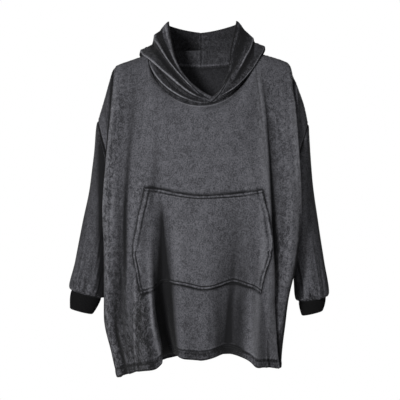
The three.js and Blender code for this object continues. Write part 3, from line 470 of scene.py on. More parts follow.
def outline_point(panel, side, share, z):
    """Points of the body's level outline, for shares from 0 to 1 of one side."""
    width = read(side["outline"], "z", "width", z)
    seam = read(side["outline"], "z", "seam", z)
    middle = read(side["outline"], "z", "middle", z)
    depth = read(panel["depths"], "z", "depth", z)
    swell = read(panel["depths"], "z", "swell", z)
    turn = np.minimum(share / WIDEST, 1) * math.pi / 2
    t = np.clip((share - WIDEST) / (1 - WIDEST), 0, 1)
    hollow = SIDE_HOLLOW * ease((z - UNDERARM) / HOLLOW_REACH + 1) * 16 * (t * (1 - t)) ** 2
    x_side = cubic(width, 0, seam, 0, t) - hollow
    way = panel["sign"]
    y_side = cubic(way * swell, -way * TURN_SLOPE, middle, -way * SEAM_SLOPE, t)
    before = share <= WIDEST
    x = np.where(before, width * np.sin(turn), x_side)
    y = np.where(before, way * (swell + (depth - swell) * np.cos(turn)), y_side)
    return stack(side["sign"] * x, y, z)


def neck_point(panel, side, share):
    """Points on the neckline of one side of a panel."""
    turn = share / NECK * math.pi / 2
    end = side["shoulder"]["z"][0]
    x = side["sign"] * NECK_HALF * np.sin(turn)
    return stack(x, panel["neck"]["y"] * np.cos(turn), mix(end, panel["neck"]["z"], np.cos(turn)))


def top_point(panel, side, share):
    """Points on the panel's upper edge: the neckline, then the shoulder seam."""
    x = read(side["shoulder"], "share", "x", share)
    z = read(side["shoulder"], "share", "z", share)
    shoulder = stack(side["sign"] * x, SEAM_HEIGHT * ease((share - NECK) / (1 - NECK)), z)
    neck = neck_point(panel, side, np.minimum(share, NECK))
    return np.where((share <= NECK)[..., None], neck, shoulder)


def half_point(panel, side, share, level):
    """Points of one half of a panel without its folds."""
    hem = read(side["hem"], "share", panel["key"], share)
    low = outline_point(panel, side, share, mix(hem, UNDERARM, np.minimum(level, 1)))
    t = np.maximum(level - 1, 0)
    near_arm = ease((share - NEAR_ARM) / 0.14)
    near_neck = ease(share / NECK)
    start = outline_point(panel, side, share, np.full_like(share, UNDERARM))
    start[..., 0] = mix(start[..., 0], side["sign"] * UNDERARM_X, near_arm)
    end = top_point(panel, side, share)
    up = mix(*BODY_RISE, near_neck) * (1 - near_arm)
    forward = panel["sign"] * ARM_TURN * near_arm
    over = mix(mix(*SHOULDER_RUN, near_neck), ARM_TURN, ease((share - 0.55) / 0.45))
    lean = mix(panel["neck"]["lean"], 1, near_neck) * over
    rise = mix(panel["neck"]["rise"], 0, near_neck) * over
    high = stack(
        mix(start[..., 0], end[..., 0], t * t * (3 - 2 * t)),
        cubic(start[..., 1], forward, end[..., 1], -panel["sign"] * lean, t),
        cubic(start[..., 2], up, end[..., 2], rise, t),
    )
    return np.where((level <= 1)[..., None], low, high)


def smooth_point(panel, share, level):
    """Points of a panel without its folds, left of the middle below 0."""
    share, level = np.broadcast_arrays(np.asarray(share, float), np.asarray(level, float))
    size = np.minimum(np.abs(share), 1)
    left = half_point(panel, LEFT, size, level)
    right = half_point(panel, RIGHT, size, level)
    return np.where((share < 0)[..., None], left, right)


def fold_height(folds, share, level):
    """Height of all the folds of a panel at places on it."""
    total = np.zeros(np.broadcast(share, level).shape)
    for _, levels, shares, heights, left, right in folds:
        centre = follow(levels[::-1], shares[::-1], level)
        height = follow(levels[::-1], heights[::-1], level)
        reach = ease((levels[0] + FOLD_FADE - level) / FOLD_FADE)
        if levels[2] > 0:
            reach = reach * ease((level - levels[2] + FOLD_FADE) / FOLD_FADE)
        offset = share - centre
        near = np.minimum(np.abs(offset) / np.where(offset < 0, left, right), 1)
        total += height * reach * 0.5 * (1 + np.cos(math.pi * near))
    return total


def outward(surface, share, level, flip):
    """Unit vectors out of a surface at places on it."""
    across = surface(share + STEP, level) - surface(share - STEP, level)
    along = surface(share, np.minimum(level + STEP, 2)) - surface(share, level - STEP)
    return unit(np.cross(across, along)) * flip


def relief_of_folds(panel, share, level, fine=1.0):
    """Height of a panel's folds and, by their share, of its fine creases."""
    return fold_height(panel["folds"], share, level) + fine * fold_height(panel["creases"], share, level)


def panel_point(panel, share, level, fine=1.0):
    """Points of a panel with its folds. The fine folds can be left out, for what lies inside."""
    share, level = np.broadcast_arrays(np.asarray(share, float), np.asarray(level, float))
    height = relief_of_folds(panel, share, level, fine)
    smooth = lambda s, l: smooth_point(panel, s, l)
    normal = outward(smooth, share, level, -panel["sign"])
    calm = ease((1 - np.abs(share)) / SEAM_CALM)
    point = smooth(share, level) + normal * (height * calm)[..., None]
    if panel is FRONT:
        lean = fold_height(FRONT["leans"], share, level) * calm
        across = unit(smooth(share + STEP, level) - smooth(share - STEP, level))
        point = point + across * lean[..., None]
    return point


def pocket_edge(column, level):
    """Share of a column of the panel at a level. Columns follow the pocket's edges."""
    left = np.interp(level, POCKET_EDGE["level"], POCKET_EDGE["left"])
    right = np.interp(level, POCKET_EDGE["level"], POCKET_EDGE["right"])
    return np.where(column < 0, left, right)


def column_share(panel, column, level):
    column, level = np.broadcast_arrays(np.asarray(column, float), np.asarray(level, float))
    edge = pocket_edge(column, level)
    size = np.abs(column)
    share = np.where(size <= NECK, size / NECK * edge, mix(edge, 1, (size - NECK) / (1 - NECK)))
    lean = OVERLAP * ease(level - 1) * np.maximum(0, 1 - size / NECK) if panel["sign"] < 0 else 0
    return np.sign(column) * share + lean


def shoulder_normal(side, share):
    """Normals shared by the front and the back along the shoulder seam."""
    after = top_point(FRONT, side, np.minimum(share + 0.01, 1))
    along = after - top_point(FRONT, side, np.maximum(share - 0.01, NECK))
    return unit(stack(-along[..., 2] * side["sign"], 0, np.abs(along[..., 0])))


def sleeve_start(side, share):
    """Direction in which the sleeve leaves the armhole, from the underarm at 0 to the shoulder at 1."""
    x, z = side["shoulder"]["x"], side["shoulder"]["z"]
    ridge = unit(np.array([side["sign"] * (x[-1] - x[-2]), 0, z[-1] - z[-2]]))
    flat = np.array([side["sign"], 0.0, 0.0])
    return unit(mix(flat, ridge, ease(share)[..., None]))


def edge_normal(panel, side, level):
    """Normals shared by the pieces that meet along a panel's side seam and armhole."""
    level = np.asarray(level, float)
    share = np.full_like(level, side["sign"])
    after = panel_point(panel, share, np.minimum(level + 0.01, 2))
    along = after - panel_point(panel, share, np.maximum(level - 0.01, 0))
    turn = -panel["sign"] * side["sign"]
    seam = unit(np.cross(np.array([0.0, -panel["sign"], 0.0]), along) * turn)
    arm = unit(np.cross(sleeve_start(side, level - 1), along) * turn)
    corner = unit(np.array([side["sign"] * 0.3, 0, -0.95]))
    top = shoulder_normal(side, np.ones_like(level))
    out = np.where((level < 1)[..., None], seam, arm)
    out = np.where((level > 1.999)[..., None], top, out)
    return np.where((np.abs(level - 1) < 1e-9)[..., None], corner, out)


def neck_frame(panel, share):
    """Places on the neckline, the normals there and the directions into the opening, square to the seam."""
    share = np.asarray(share, float)
    size = np.minimum(np.abs(share), NECK)
    halves = []
    for side in (LEFT, RIGHT):
        place = neck_point(panel, side, size)
        seam = neck_point(panel, side, np.minimum(size + STEP, NECK)) - neck_point(panel, side, size - STEP)
        seam = np.where((size > STEP)[..., None], seam, np.array([side["sign"], 0.0, 0.0]))
        seam = unit(np.where((size > NECK - 2 * STEP)[..., None], np.array([0.0, 1.0, 0.0]), seam))
        sign = np.where(share < 0, -1.0, 1.0)
        nearby = sign * np.minimum(size, NECK - 0.03)
        surface = lambda s, l: panel_point(panel, s, l, 0)
        normal = outward(surface, nearby, np.full_like(nearby, 1.96), -panel["sign"])
        shoulder = shoulder_normal(side, np.full_like(size, NECK + 0.01))
        normal = mix(normal, shoulder, ease((size / NECK - 0.6) / 0.4)[..., None])
        normal = unit(normal - seam * np.sum(normal * seam, axis=-1, keepdims=True))
        inward = unit(np.cross(seam, normal))
        flat = np.sum((inward * place)[..., :2], axis=-1, keepdims=True)
        halves.append((place, normal, np.where(flat > 0, -inward, inward)))
    left = (share < 0)[..., None]
    return [np.where(left, a, b) for a, b in zip(*halves)]


def graded(start, end, near, far, ends=(True, True), reach=10):
    """Places from start to end, near apart at the chosen ends and far apart between them."""
    span = abs(end - start)
    places = [0.0]
    while places[-1] < span:
        gap = min(
            places[-1] if ends[0] else span,
            span - places[-1] if ends[1] else span,
        )
        places.append(places[-1] + mix(near, far, float(ease(gap / (reach * near)))))
    places = np.array(places) * span / places[-1]
    return start + np.sign(end - start) * places


def spaced(start, end, spots, far):
    """Places from start to end, far apart, but closer round each spot: its place, reach and spacing."""
    places = [start]
    while places[-1] < end:
        step = far
        for spot, reach, near in spots:
            step = min(step, mix(near, far, float(ease((abs(places[-1] - spot) - reach) / 0.05))))
        places.append(places[-1] + step)
    places = np.array(places)
    return start + (places - start) * (end - start) / (places[-1] - start)


def cloth_mesh(name, outer, normals, thickness, tone, around=False, flip=1, soft_edges=FREE_EDGE,
               inside=INSIDE_PAINTED_SHADE, creased=0.0):
    """A closed shell of cloth between a grid of outer points and the same grid moved in along the normals.
    Its edges are rounded by a line of points that stands out by a share of the thickness. The tone is
    painted shade below 0, dark as in grooves, and painted light above 0."""
    rows, columns = outer.shape[:2]
    thickness = np.broadcast_to(np.asarray(thickness, float), (rows, columns))
    inner = outer - normals * thickness[..., None]
    count = rows * columns
    index = np.arange(count).reshape(rows, columns)
    wrapped = np.concatenate([index, index[:, :1]], axis=1) if around else index
    a, b = wrapped[:-1, :-1], wrapped[:-1, 1:]
    c, d = wrapped[1:, 1:], wrapped[1:, :-1]
    out_faces = np.stack([a, b, c, d], axis=-1).reshape(-1, 4)
    in_faces = np.stack([a, d, c, b], axis=-1).reshape(-1, 4) + count
    points = [outer.reshape(-1, 3), inner.reshape(-1, 3)]
    faces = [out_faces, in_faces]
    tone = tone + ridge_tone(outer, normals, around)
    tones = [tone.reshape(-1), np.broadcast_to(np.asarray(inside, float), (rows, columns)).reshape(-1)]
    creased = np.broadcast_to(np.asarray(creased, float), (rows, columns)).reshape(-1)
    marks = [creased, creased * 0.5]
    softness = np.broadcast_to(np.asarray(soft_edges, float), (count,)) * thickness.reshape(-1)
    for loop, next_in in edge_loops(index, around):
        start = sum(len(p) for p in points)
        edge = (outer.reshape(-1, 3)[loop] + inner.reshape(-1, 3)[loop]) / 2
        away = unit(edge - (outer.reshape(-1, 3)[next_in] + inner.reshape(-1, 3)[next_in]) / 2)
        points.append(edge + away * softness[loop][:, None])
        tones.append(tones[0][loop])
        marks.append(creased[loop])
        ring = np.arange(start, start + len(loop))
        after, ring_after = np.roll(loop, -1), np.roll(ring, -1)
        faces.append(np.stack([loop, ring, ring_after, after], axis=-1))
        faces.append(np.stack([ring, loop + count, after + count, ring_after], axis=-1))
    faces = np.concatenate(faces)
    if flip < 0:
        faces = faces[:, ::-1]
    piece = make_mesh(name, np.concatenate(points), faces.tolist())
    for key, values in (("tone", tones), ("creased", marks)):
        attribute = piece.data.attributes.new(key, "FLOAT", "POINT")
        attribute.data.foreach_set("value", np.concatenate(values).astype(np.float32))
    return piece


def fold_tone(panel, share, level):
    """Painted shade in the troughs of the folds, darker than their crests."""
    tone = np.clip(relief_of_folds(panel, share, level) / TROUGH_DEPTH, -0.95, 0.1)
    size = np.abs(share)
    # Below the underarm, painted shade where the body turns to the side, with a painted light line before
    # it.
    low = ease((1.02 - level) / 0.05)
    tone = tone - low * 0.75 * ease((size - 0.63) / 0.06) * ease((0.85 - size) / 0.05)
    tone = tone + low * 0.35 * bell(size, 0.59, 0.022)
    if panel is FRONT:
        tone = tone + fold_height(FRONT["marks"], share, level)
        # Painted shade over the middle and the left below the underarm, and over the left shoulder above
        # it.
        middle = 0.26 * ease((0.25 - share) / 0.15) + 0.22 * ease(-share / 0.4)
        tone = tone - ease(1.05 - level) * middle
        tone = tone - ease(level - 0.9) * 0.18 * ease((-share - 0.3) / 0.25)
    return tone


def ridge_tone(grid, normals, around):
    """Painted light on the ridges and painted shade in the troughs, from the bend of the cloth."""
    total = np.zeros(grid.shape[:2])
    for reach in RIDGE_STEPS:
        for axis in (0, 1):
            if axis == 1 and around:
                before, after = np.roll(grid, reach, axis=1), np.roll(grid, -reach, axis=1)
            else:
                pad = [(0, 0)] * 3
                pad[axis] = (reach, reach)
                wide = np.pad(grid, pad, mode="reflect", reflect_type="odd")
                size = grid.shape[axis]
                before = np.take(wide, np.arange(size), axis=axis)
                after = np.take(wide, np.arange(size) + 2 * reach, axis=axis)
            near = np.maximum(np.linalg.norm(grid - before, axis=-1, keepdims=True), 0.4)
            far = np.maximum(np.linalg.norm(after - grid, axis=-1, keepdims=True), 0.4)
            bend = ((after - grid) / far - (grid - before) / near) / ((near + far) / 2)
            total -= np.sum(bend * normals, axis=-1) / len(RIDGE_STEPS)
    tone = RIDGE_TONE * np.tanh(total * RIDGE_SENSE)
    return np.where(tone > 0, RIDGE_LIGHT * tone, tone)


def seam_tone(distance):
    """Painted shade in a seam and a little painted light beside it."""
    return -0.95 * bell(distance, 0, 2.6) + 0.2 * bell(distance, 6.0, 2.4)


def stitch_tone(distance, place):
    """Painted shade where stitches pull the cloth in, with painted light on both sides."""
    beside = np.abs(distance - place) - 4.2
    return -1.05 * bell(distance, place, 2.0) + 0.35 * bell(beside, 0, 1.4)


def free_edge_tone(distance):
    """Painted shade at a turned edge, where the cloth rolls over, and painted light beside it."""
    return -1.0 * bell(distance, 0, 2.6) + 0.3 * bell(distance, 5.0, 1.5)


def edge_loops(index, around):
    """Loops of edge points of a grid, each with the points one step further in."""
    if around:
        return [(index[0], index[1]), (index[-1][::-1], index[-2][::-1])]
    loop = np.concatenate([index[0, :-1], index[:-1, -1], index[-1, :0:-1], index[:0:-1, 0]])
    inside = np.concatenate([index[1, :-1], index[:-1, -2], index[-2, :0:-1], index[:0:-1, 1]])
    return [(loop, inside)]


def put(name, data):
    """An object with this data, in the scene."""
    made = bpy.data.objects.new(name, data)
    bpy.context.scene.collection.objects.link(made)
    return made


def make_mesh(name, points, faces, smooth=True):
    """A mesh from points in millimetres."""
    mesh = bpy.data.meshes.new(name)
    mesh.from_pydata((np.asarray(points) * MM).tolist(), [], faces)
    mesh.polygons.foreach_set("use_smooth", np.full(len(mesh.polygons), smooth))
    mesh.validate()
    return put(name, mesh)


def grid_normals(grid, around=False, flip=1):
    """Unit vectors out of a grid of points."""
    if around:
        wide = np.concatenate([grid[:, -1:], grid, grid[:, :1]], axis=1)
        across = wide[:, 2:] - wide[:, :-2]
    else:
        across = np.gradient(grid, axis=1)
    up = np.gradient(grid, axis=0)
    return unit(np.cross(across, up)) * flip


def lengths(grid, axis):
    """Distance of each point of a grid from its first row or column, along the cloth."""
    steps = np.linalg.norm(np.diff(grid, axis=axis), axis=-1)
    start = np.zeros_like(np.take(grid[..., 0], [0], axis=axis))
    return np.concatenate([start, np.cumsum(steps, axis=axis)], axis=axis)


def to_edge(grid, edge):
    """Distance of each point of a grid from one of its edges: bottom, top, first or last."""
    axis = 0 if edge in ("bottom", "top") else 1
    run = lengths(grid, axis)
    if edge in ("bottom", "first"):
        return run
    whole = np.take(run, [-1], axis=axis)
    return whole - run


def waves(along, seed, pitch, count=7):
    """Uneven waves from -1 to 1 along a length, with about the given pitch."""
    draw = np.random.default_rng(seed)
    total = np.zeros_like(along)
    sizes, turns = draw.uniform(0.5, 1, count), draw.uniform(0.6, 1.7, count)
    for size, turn, phase in zip(sizes, turns, draw.uniform(0, 7, count)):
        total += size * np.sin(2 * math.pi * along * turn / pitch + phase)
    return total / math.sqrt(count)


def unrest(grid, seed, pitch, height):
    """Low, soft and uneven relief over a piece of cloth."""
    draw = np.random.default_rng(seed)
    total = np.zeros(grid.shape[:2])
    for _ in range(14):
        direction = unit(draw.normal(size=3) * (1, 1, 0.45)) * draw.uniform(0.5, 1.6)
        phase, size = draw.uniform(0, 7), draw.uniform(0.4, 1)
        total += np.sin(2 * math.pi * (grid @ direction) / pitch + phase) * size
    return total / 4 * height


def seam_dip(distance, along, seed, depth=2.2, pucker=0.8, pitch=13):
    """Cloth that turns in to a seam, with small puckers that die away from it."""
    dip = -depth * np.exp(-((distance / 3.2) ** 1.6))
    puckers = pucker * waves(along, seed, pitch) * np.exp(-distance / 9) * ease(distance / 4)
    return dip + puckers


def stitch_groove(distance, place, depth=0.9, width=1.5):
    """Groove that a row of stitches pulls in."""
    return -depth * bell(distance, place, width)


def turned_hem(distance, along, seed, width, puff=0.9, pitch=11):
    """A turned and stitched hem: a puffed band, a groove at its stitches and puckers on both sides."""
    band = ease((width - distance) / 3 + 0.5)
    swell = puff * band * np.sin(math.pi * np.clip(distance / width, 0, 1)) ** 0.6
    edge = -0.8 * np.exp(-distance / 1.2)
    puckers = 0.55 * waves(along, seed, pitch) * np.exp(-np.abs(distance - width) / 6)
    return swell + edge + stitch_groove(distance, width) + puckers


def inset_line(grid, normals, edge, place):
    """Points and normals along a line that keeps a distance from an edge of a grid."""
    run = to_edge(grid, edge)
    if edge in ("first", "last"):
        grid, normals, run = grid.transpose(1, 0, 2), normals.transpose(1, 0, 2), run.T
    if edge in ("top", "last"):
        grid, normals, run = grid[::-1], normals[::-1], run[::-1]
    lines = []
    for k in range(grid.shape[1]):
        row = int(np.clip(np.searchsorted(run[:, k], place), 1, len(run) - 1))
        t = (place - run[row - 1, k]) / max(run[row, k] - run[row - 1, k], 1e-9)
        lines.append([mix(values[row - 1, k], values[row, k], t) for values in (grid, normals)])
    places, ups = np.array(lines).transpose(1, 0, 2)
    return places, unit(ups)


def stitches(name, runs, pitch=3.4, length=2.5, radius=0.42, lift=0.12):
    """Threads that lie along lines on the cloth, each a short rounded bead."""
    corners = 5
    turns = 2 * math.pi * np.arange(corners) / corners
    sizes = ((-0.5, 0.35), (-0.32, 1), (0.32, 1), (0.5, 0.35))  # place along a bead and share of its radius
    points, faces = [], []
    for places, normals in runs:
        gone = np.concatenate([[0], np.cumsum(np.linalg.norm(np.diff(places, axis=0), axis=-1))])
        centres = np.arange(pitch / 2, gone[-1], pitch)
        pick = lambda at, values: np.stack([np.interp(at, gone, values[:, k]) for k in range(3)], axis=-1)
        spots, ups = pick(centres, places), unit(pick(centres, normals))
        ways = unit(pick(centres + 0.6, places) - pick(centres - 0.6, places))
        sides = unit(np.cross(ways, ups))
        for spot, up, way, side in zip(spots, ups, ways, sides):
            first = len(points)
            for along, size in sizes:
                for turn in turns:
                    ring = side * math.cos(turn) + up * math.sin(turn)
                    points.append(spot + up * lift + way * along * length + ring * radius * size)
            for ring in range(len(sizes) - 1):
                for k in range(corners):
                    low, high = first + ring * corners, first + (ring + 1) * corners
                    step = (k + 1) % corners
                    faces.append((low + k, high + k, high + step, low + step))
            end = first + (len(sizes) - 1) * corners
            faces.append(tuple(first + k for k in range(corners)))
            faces.append(tuple(end + k for k in reversed(range(corners))))
    return make_mesh(name, points, faces)


def panel_piece(name, panel):
    """The front or the back, with its hem and the relief of its seams."""
    low = graded(0, 1, 0.004, 0.011, (True, False), 12)
    high = graded(1, 2, 0.006, 0.017, (False, True), 10)
    levels = np.concatenate([low, high[1:]])[:, None]
    columns = spaced(-1, 1, panel["spots"], COLUMN)[None, :]
    share = column_share(panel, columns, levels)
    levels = np.broadcast_to(levels, share.shape)
    grid = panel_point(panel, share, levels)
    side_sign = np.where(columns < 0, -1, 1)
    on_shoulder = (levels > 1.9999) & (np.abs(columns) >= NECK - 1e-9)
    on_side = np.broadcast_to((np.abs(columns) > 0.9999), share.shape) & (levels <= 1)
    grid[..., 1] += np.where(on_shoulder | on_side, panel["sign"] * SEAM_GAP / 2, 0)
    normals = grid_normals(grid, flip=-panel["sign"])
    for side, j in ((LEFT, 0), (RIGHT, -1)):
        normals[:, j] = edge_normal(panel, side, levels[:, j])
    for side in (LEFT, RIGHT):
        mine = on_shoulder[-1] & (side_sign[0] == side["sign"])
        normals[-1, mine] = shoulder_normal(side, np.maximum(np.abs(share[-1, mine]), NECK + 0.01))
    neck = ~on_shoulder[-1]
    normals[-1, neck] = neck_frame(panel, share[-1, neck])[1]
    seed = panel["seed"]
    height, along = to_edge(grid, "bottom"), lengths(grid, 1)
    first, last, top = (to_edge(grid, edge) for edge in ("first", "last", "top"))
    relief = turned_hem(height, along, seed, HEM_WIDTH)
    relief += stitch_groove(height, HEM_WIDTH - HEM_ROWS, 0.6)
    relief += seam_dip(first, height, seed + 1) + seam_dip(last, height, seed + 2)
    shoulder = ease((np.abs(columns) - NECK) / 0.03)
    relief += seam_dip(top, along, seed + 3) * mix(0.8, 1, shoulder)
    sewn = np.minimum(np.minimum(first, last), top)
    relief += (unrest(grid, seed, 210, 1.0) + unrest(grid, seed + 1, 70, 0.35)) * ease(sewn / 30)
    grid = grid + normals * relief[..., None]
    thickness = FLEECE + HEM_EXTRA * ease((HEM_WIDTH + 1 - height) / 2)
    # painted shade at the hem's turned edge, in its rows of stitches and in the seams, with painted light
    # beside them; the hem band is darker
    tone = fold_tone(panel, share, levels) + free_edge_tone(height)
    tone -= 0.4 * ease((HEM_WIDTH - height) / 4)
    tone += stitch_tone(height, HEM_WIDTH) + 0.6 * stitch_tone(height, HEM_WIDTH - HEM_ROWS)
    tone += seam_tone(first)
    tone += seam_tone(last)
    # wider painted shade along the shoulder seam
    tone += shoulder * (seam_tone(top) - 1.0 * bell(top, 0, 8.5))
    # painted light line along the neckline, with painted shade right at the seam
    tone += (1 - shoulder) * (0.9 * bell(top, 3.4, 1.5) - 0.3 * bell(top, 0, 1.5))
    if panel is FRONT:
        # painted shadow of the hood's crossing on the chest below the neckline, and painted shadow round
        # the pocket's edge
        tone -= (1 - shoulder) * 0.45 * bell(top, 10, 9) * ease((share + 0.02) / 0.06)
        tone -= 1.3 * bell(distance_to(grid, pocket_outline()), 0, 4.8)
    creased = 0.1 + 0.6 * ease((HEM_WIDTH + 4 - height) / 6) + 0.45 * bell(np.abs(share), 0.63, 0.05)
    if panel is FRONT:
        creased = creased + crumpled(share, levels)
    lines = [inset_line(grid, normals, "bottom", place) for place in (HEM_WIDTH, HEM_WIDTH - HEM_ROWS)]
    piece = cloth_mesh(name, grid, normals, thickness, tone, flip=-panel["sign"],
                       soft_edges=edge_softness(grid), creased=creased)
    return piece, lines


def crumpled(share, level):
    """How much the front is crumpled at places on it."""
    total = np.zeros(share.shape)
    for across, up, width, reach, amount in FRONT["crumples"]:
        total += amount * np.exp(-(((share - across) / width) ** 2) - ((level - up) / reach) ** 2)
    return total


def edge_softness(grid):
    """Share of the thickness that the hem's edge is rounded by. The sewn edges stay straight."""
    soft = np.full(grid.shape[:2], SEWN_EDGE)
    soft[0] = FREE_EDGE
    return soft.reshape(-1)


def curve_points(stations, steps):
    """A smooth curve through stations of points, with even steps of its parameter between them."""
    stations = np.asarray(stations, float)
    first = 2 * stations[0] - stations[1]
    last = 2 * stations[-1] - stations[-2]
    knots = np.concatenate([[first], stations, [last]])
    gaps = np.maximum(np.sqrt(np.linalg.norm(np.diff(knots, axis=0), axis=-1)), 1e-2)[..., None]
    out = []
    for at in steps:
        k = int(min(at, len(stations) - 1 - 1e-9))
        t = at - k
        p0, p1, p2, p3 = knots[k : k + 4]
        g0, g1, g2 = gaps[k : k + 3]
        m1 = ((p1 - p0) / g0 - (p2 - p0) / (g0 + g1) + (p2 - p1) / g1) * g1
        m2 = ((p2 - p1) / g1 - (p3 - p1) / (g1 + g2) + (p3 - p2) / g2) * g1
        out.append(cubic(p1, m1, p2, m2, t))
    return np.array(out)


def hood_half(name, side, first_column, seed):
    """One half of the hood, from the front crossing round to the seam at the back."""
    rows = side["hood"]
    front = np.arange(first_column, NECK, HOOD_COLUMN) * side["sign"]
    back = np.append(np.arange(NECK, 0.0001, -HOOD_COLUMN), 0.0) * side["sign"]
    feet = []
    for panel, columns in ((FRONT, front), (BACK, back)):
        share = column_share(panel, columns, 2.0)
        quarter = np.minimum(side["sign"] * share / NECK, 1) * 90
        feet.append([*neck_frame(panel, share), quarter if panel is FRONT else 180 - quarter])
    place, normal, inward, angle = (np.concatenate(both) for both in zip(*feet))
    turn = np.radians(angle)
    out = stack(side["sign"] * np.sin(turn), -np.cos(turn), 0)
    table_angles = [row[0] for row in rows]

    def station(k):
        away = follow(table_angles, [row[k][0] for row in rows], angle)
        up = follow(table_angles, [row[k][1] for row in rows], angle)
        return place + out * away[:, None] + np.array([0, 0, 1.0]) * up[:, None]

    foot = station(1) + inward * HOOD_GAP
    stations = [foot, foot + inward * HOOD_STAND] + [station(k) for k in range(2, len(rows[0]))]
    spans = len(stations) - 1
    rim_steps = spans - 1 + graded(0, 1, 0.035, 0.09, (False, True), 6)[1:]
    steps = np.concatenate([[0], np.linspace(1, spans - 1, (spans - 2) * HOOD_ROWS + 1), rim_steps])
    grid = curve_points(stations, steps)
    grid[:, -1, 0] = side["sign"] * HOOD_SEAM
    flip = 1 if side is RIGHT else -1
    normals = grid_normals(grid, flip=flip)
    normals[0] = normal
    up = np.gradient(grid[:, -1], axis=0)
    back_normal = unit(stack(0, up[:, 2], -up[:, 1]))
    normals[1:, -1] = back_normal[1:]
    rim, along = to_edge(grid, "top"), lengths(grid, 1)
    calm = ease((along[:1] - 3) / 12)  # the front edge stays smooth
    grid = grid + normals * hood_creases(side, steps[:, None], angle[None])[..., None]
    relief = turned_hem(rim, along, seed, HOOD_HEM, 0.7)
    relief += seam_dip(to_edge(grid, "bottom"), along, seed + 1, 1.0, 0.8)
    relief += seam_dip(to_edge(grid, "last"), lengths(grid, 0), seed + 2, 1.3, 0.6)
    relief += unrest(grid, seed, 90, 0.8) * calm * ease(to_edge(grid, "bottom") / 20)
    grid = grid + normals * relief[..., None]
    grid[:, -1, 0] = side["sign"] * HOOD_SEAM
    thickness = FLEECE + HOOD_HEM_EXTRA * ease((HOOD_HEM + 1 - rim) / 2)
    soft = np.full(grid.shape[:2], SEWN_EDGE)
    soft[-1], soft[:, 0] = FREE_EDGE, 0.3
    line = inset_line(grid, normals, "top", HOOD_HEM)
    # painted shade over the hood half, at its turned rim and stitches and in its seams, with painted light
    # along the left rim and above the foot
    tone = free_edge_tone(rim) + stitch_tone(rim, HOOD_HEM) + side["hood_tone"]
    tone = tone - 0.5 * bell(rim, 0, 4.5) + side["rim_tone"] * bell(rim, 9, 5)
    foot_run, back_run = to_edge(grid, "bottom"), to_edge(grid, "last")
    tone += 0.5 * seam_tone(foot_run) + 0.45 * bell(foot_run, 0, 9) + seam_tone(back_run)
    tone += hood_lines(side, steps[:, None], angle[None])
    # painted shade over the hood's inside, darkest at the back seam, with painted light lines beside the
    # seam and above the foot
    inside = -0.62 - 0.35 * bell(back_run, 0, 2.2)
    inside += 0.5 * bell(back_run, 4.5, 1.6)
    inside += 0.6 * bell(foot_run, 5.0, 2.0)
    piece = cloth_mesh(name, grid, normals, thickness, tone, flip=flip, soft_edges=soft.reshape(-1),
                       inside=inside, creased=0.6)
    return piece, [line]


def hood_creases(side, run, angle):
    """Sharp crests and troughs of a hood half. A crease keeps its place on the way from the neck to the rim
    and lives between two angles round the neck."""
    total = np.zeros(np.broadcast(run, angle).shape)
    for _, place, height, width, start, end in side["hood_creases"]:
        reach = ease((angle - start) / 18) * ease((end - angle) / 30)
        total += height * reach * np.exp(-((np.abs(run - place) / width) ** 1.3))
    return total


def hood_lines(side, run, angle):
    """Painted tones of the hood's creases: thin painted highlights on the crests, painted shade just below
    them and wider painted shade in the troughs.
    """
    total = np.zeros(np.broadcast(run, angle).shape)
    for _, place, height, _, start, end in side["hood_creases"]:
        reach = ease((angle - start) / 18) * ease((min(end, RIM_TURN) - angle) / 30)
        size, spread = (1.5, 0.09) if height > 0 else (-0.6, 0.3)
        total += size * reach * bell(run, place, spread)
        if height > 0:
            total -= 1.1 * reach * bell(run - place, -0.3, 0.13)
    return total


def sleeve_section(side, section, turn):
    """A ring of a sleeve or cuff, from the inner side round the front to the outer side and back."""
    inner = np.array([side["sign"] * section["innerX"], section["middle"], section["innerZ"]])
    outer = np.array([side["sign"] * section["outerX"], section["middle"], section["outerZ"]])
    middle, half = (inner + outer) / 2, (outer - inner) / 2
    forward = stack(0, -section["depth"] * np.sin(turn), 0)
    return middle - half * np.cos(turn)[:, None] + forward


def cuff_axis(side):
    """Direction from the sleeve's end to the cuff's."""
    ends = np.array([0, math.pi])
    top, end = (sleeve_section(side, side[key], ends).mean(axis=0) for key in ("cuff_top", "cuff_end"))
    return unit(end - top)


def ring_normals(ring):
    """Unit vectors out of a ring, in its own plane."""
    quarter = len(ring) // 4
    square = np.cross(ring[quarter] - ring[0], ring[2 * quarter] - ring[0])
    along = np.roll(ring, -1, axis=0) - np.roll(ring, 1, axis=0)
    out = unit(np.cross(along, square))
    away = np.sum(out * (ring - ring.mean(axis=0)), axis=-1, keepdims=True)
    return np.where(away < 0, -out, out)


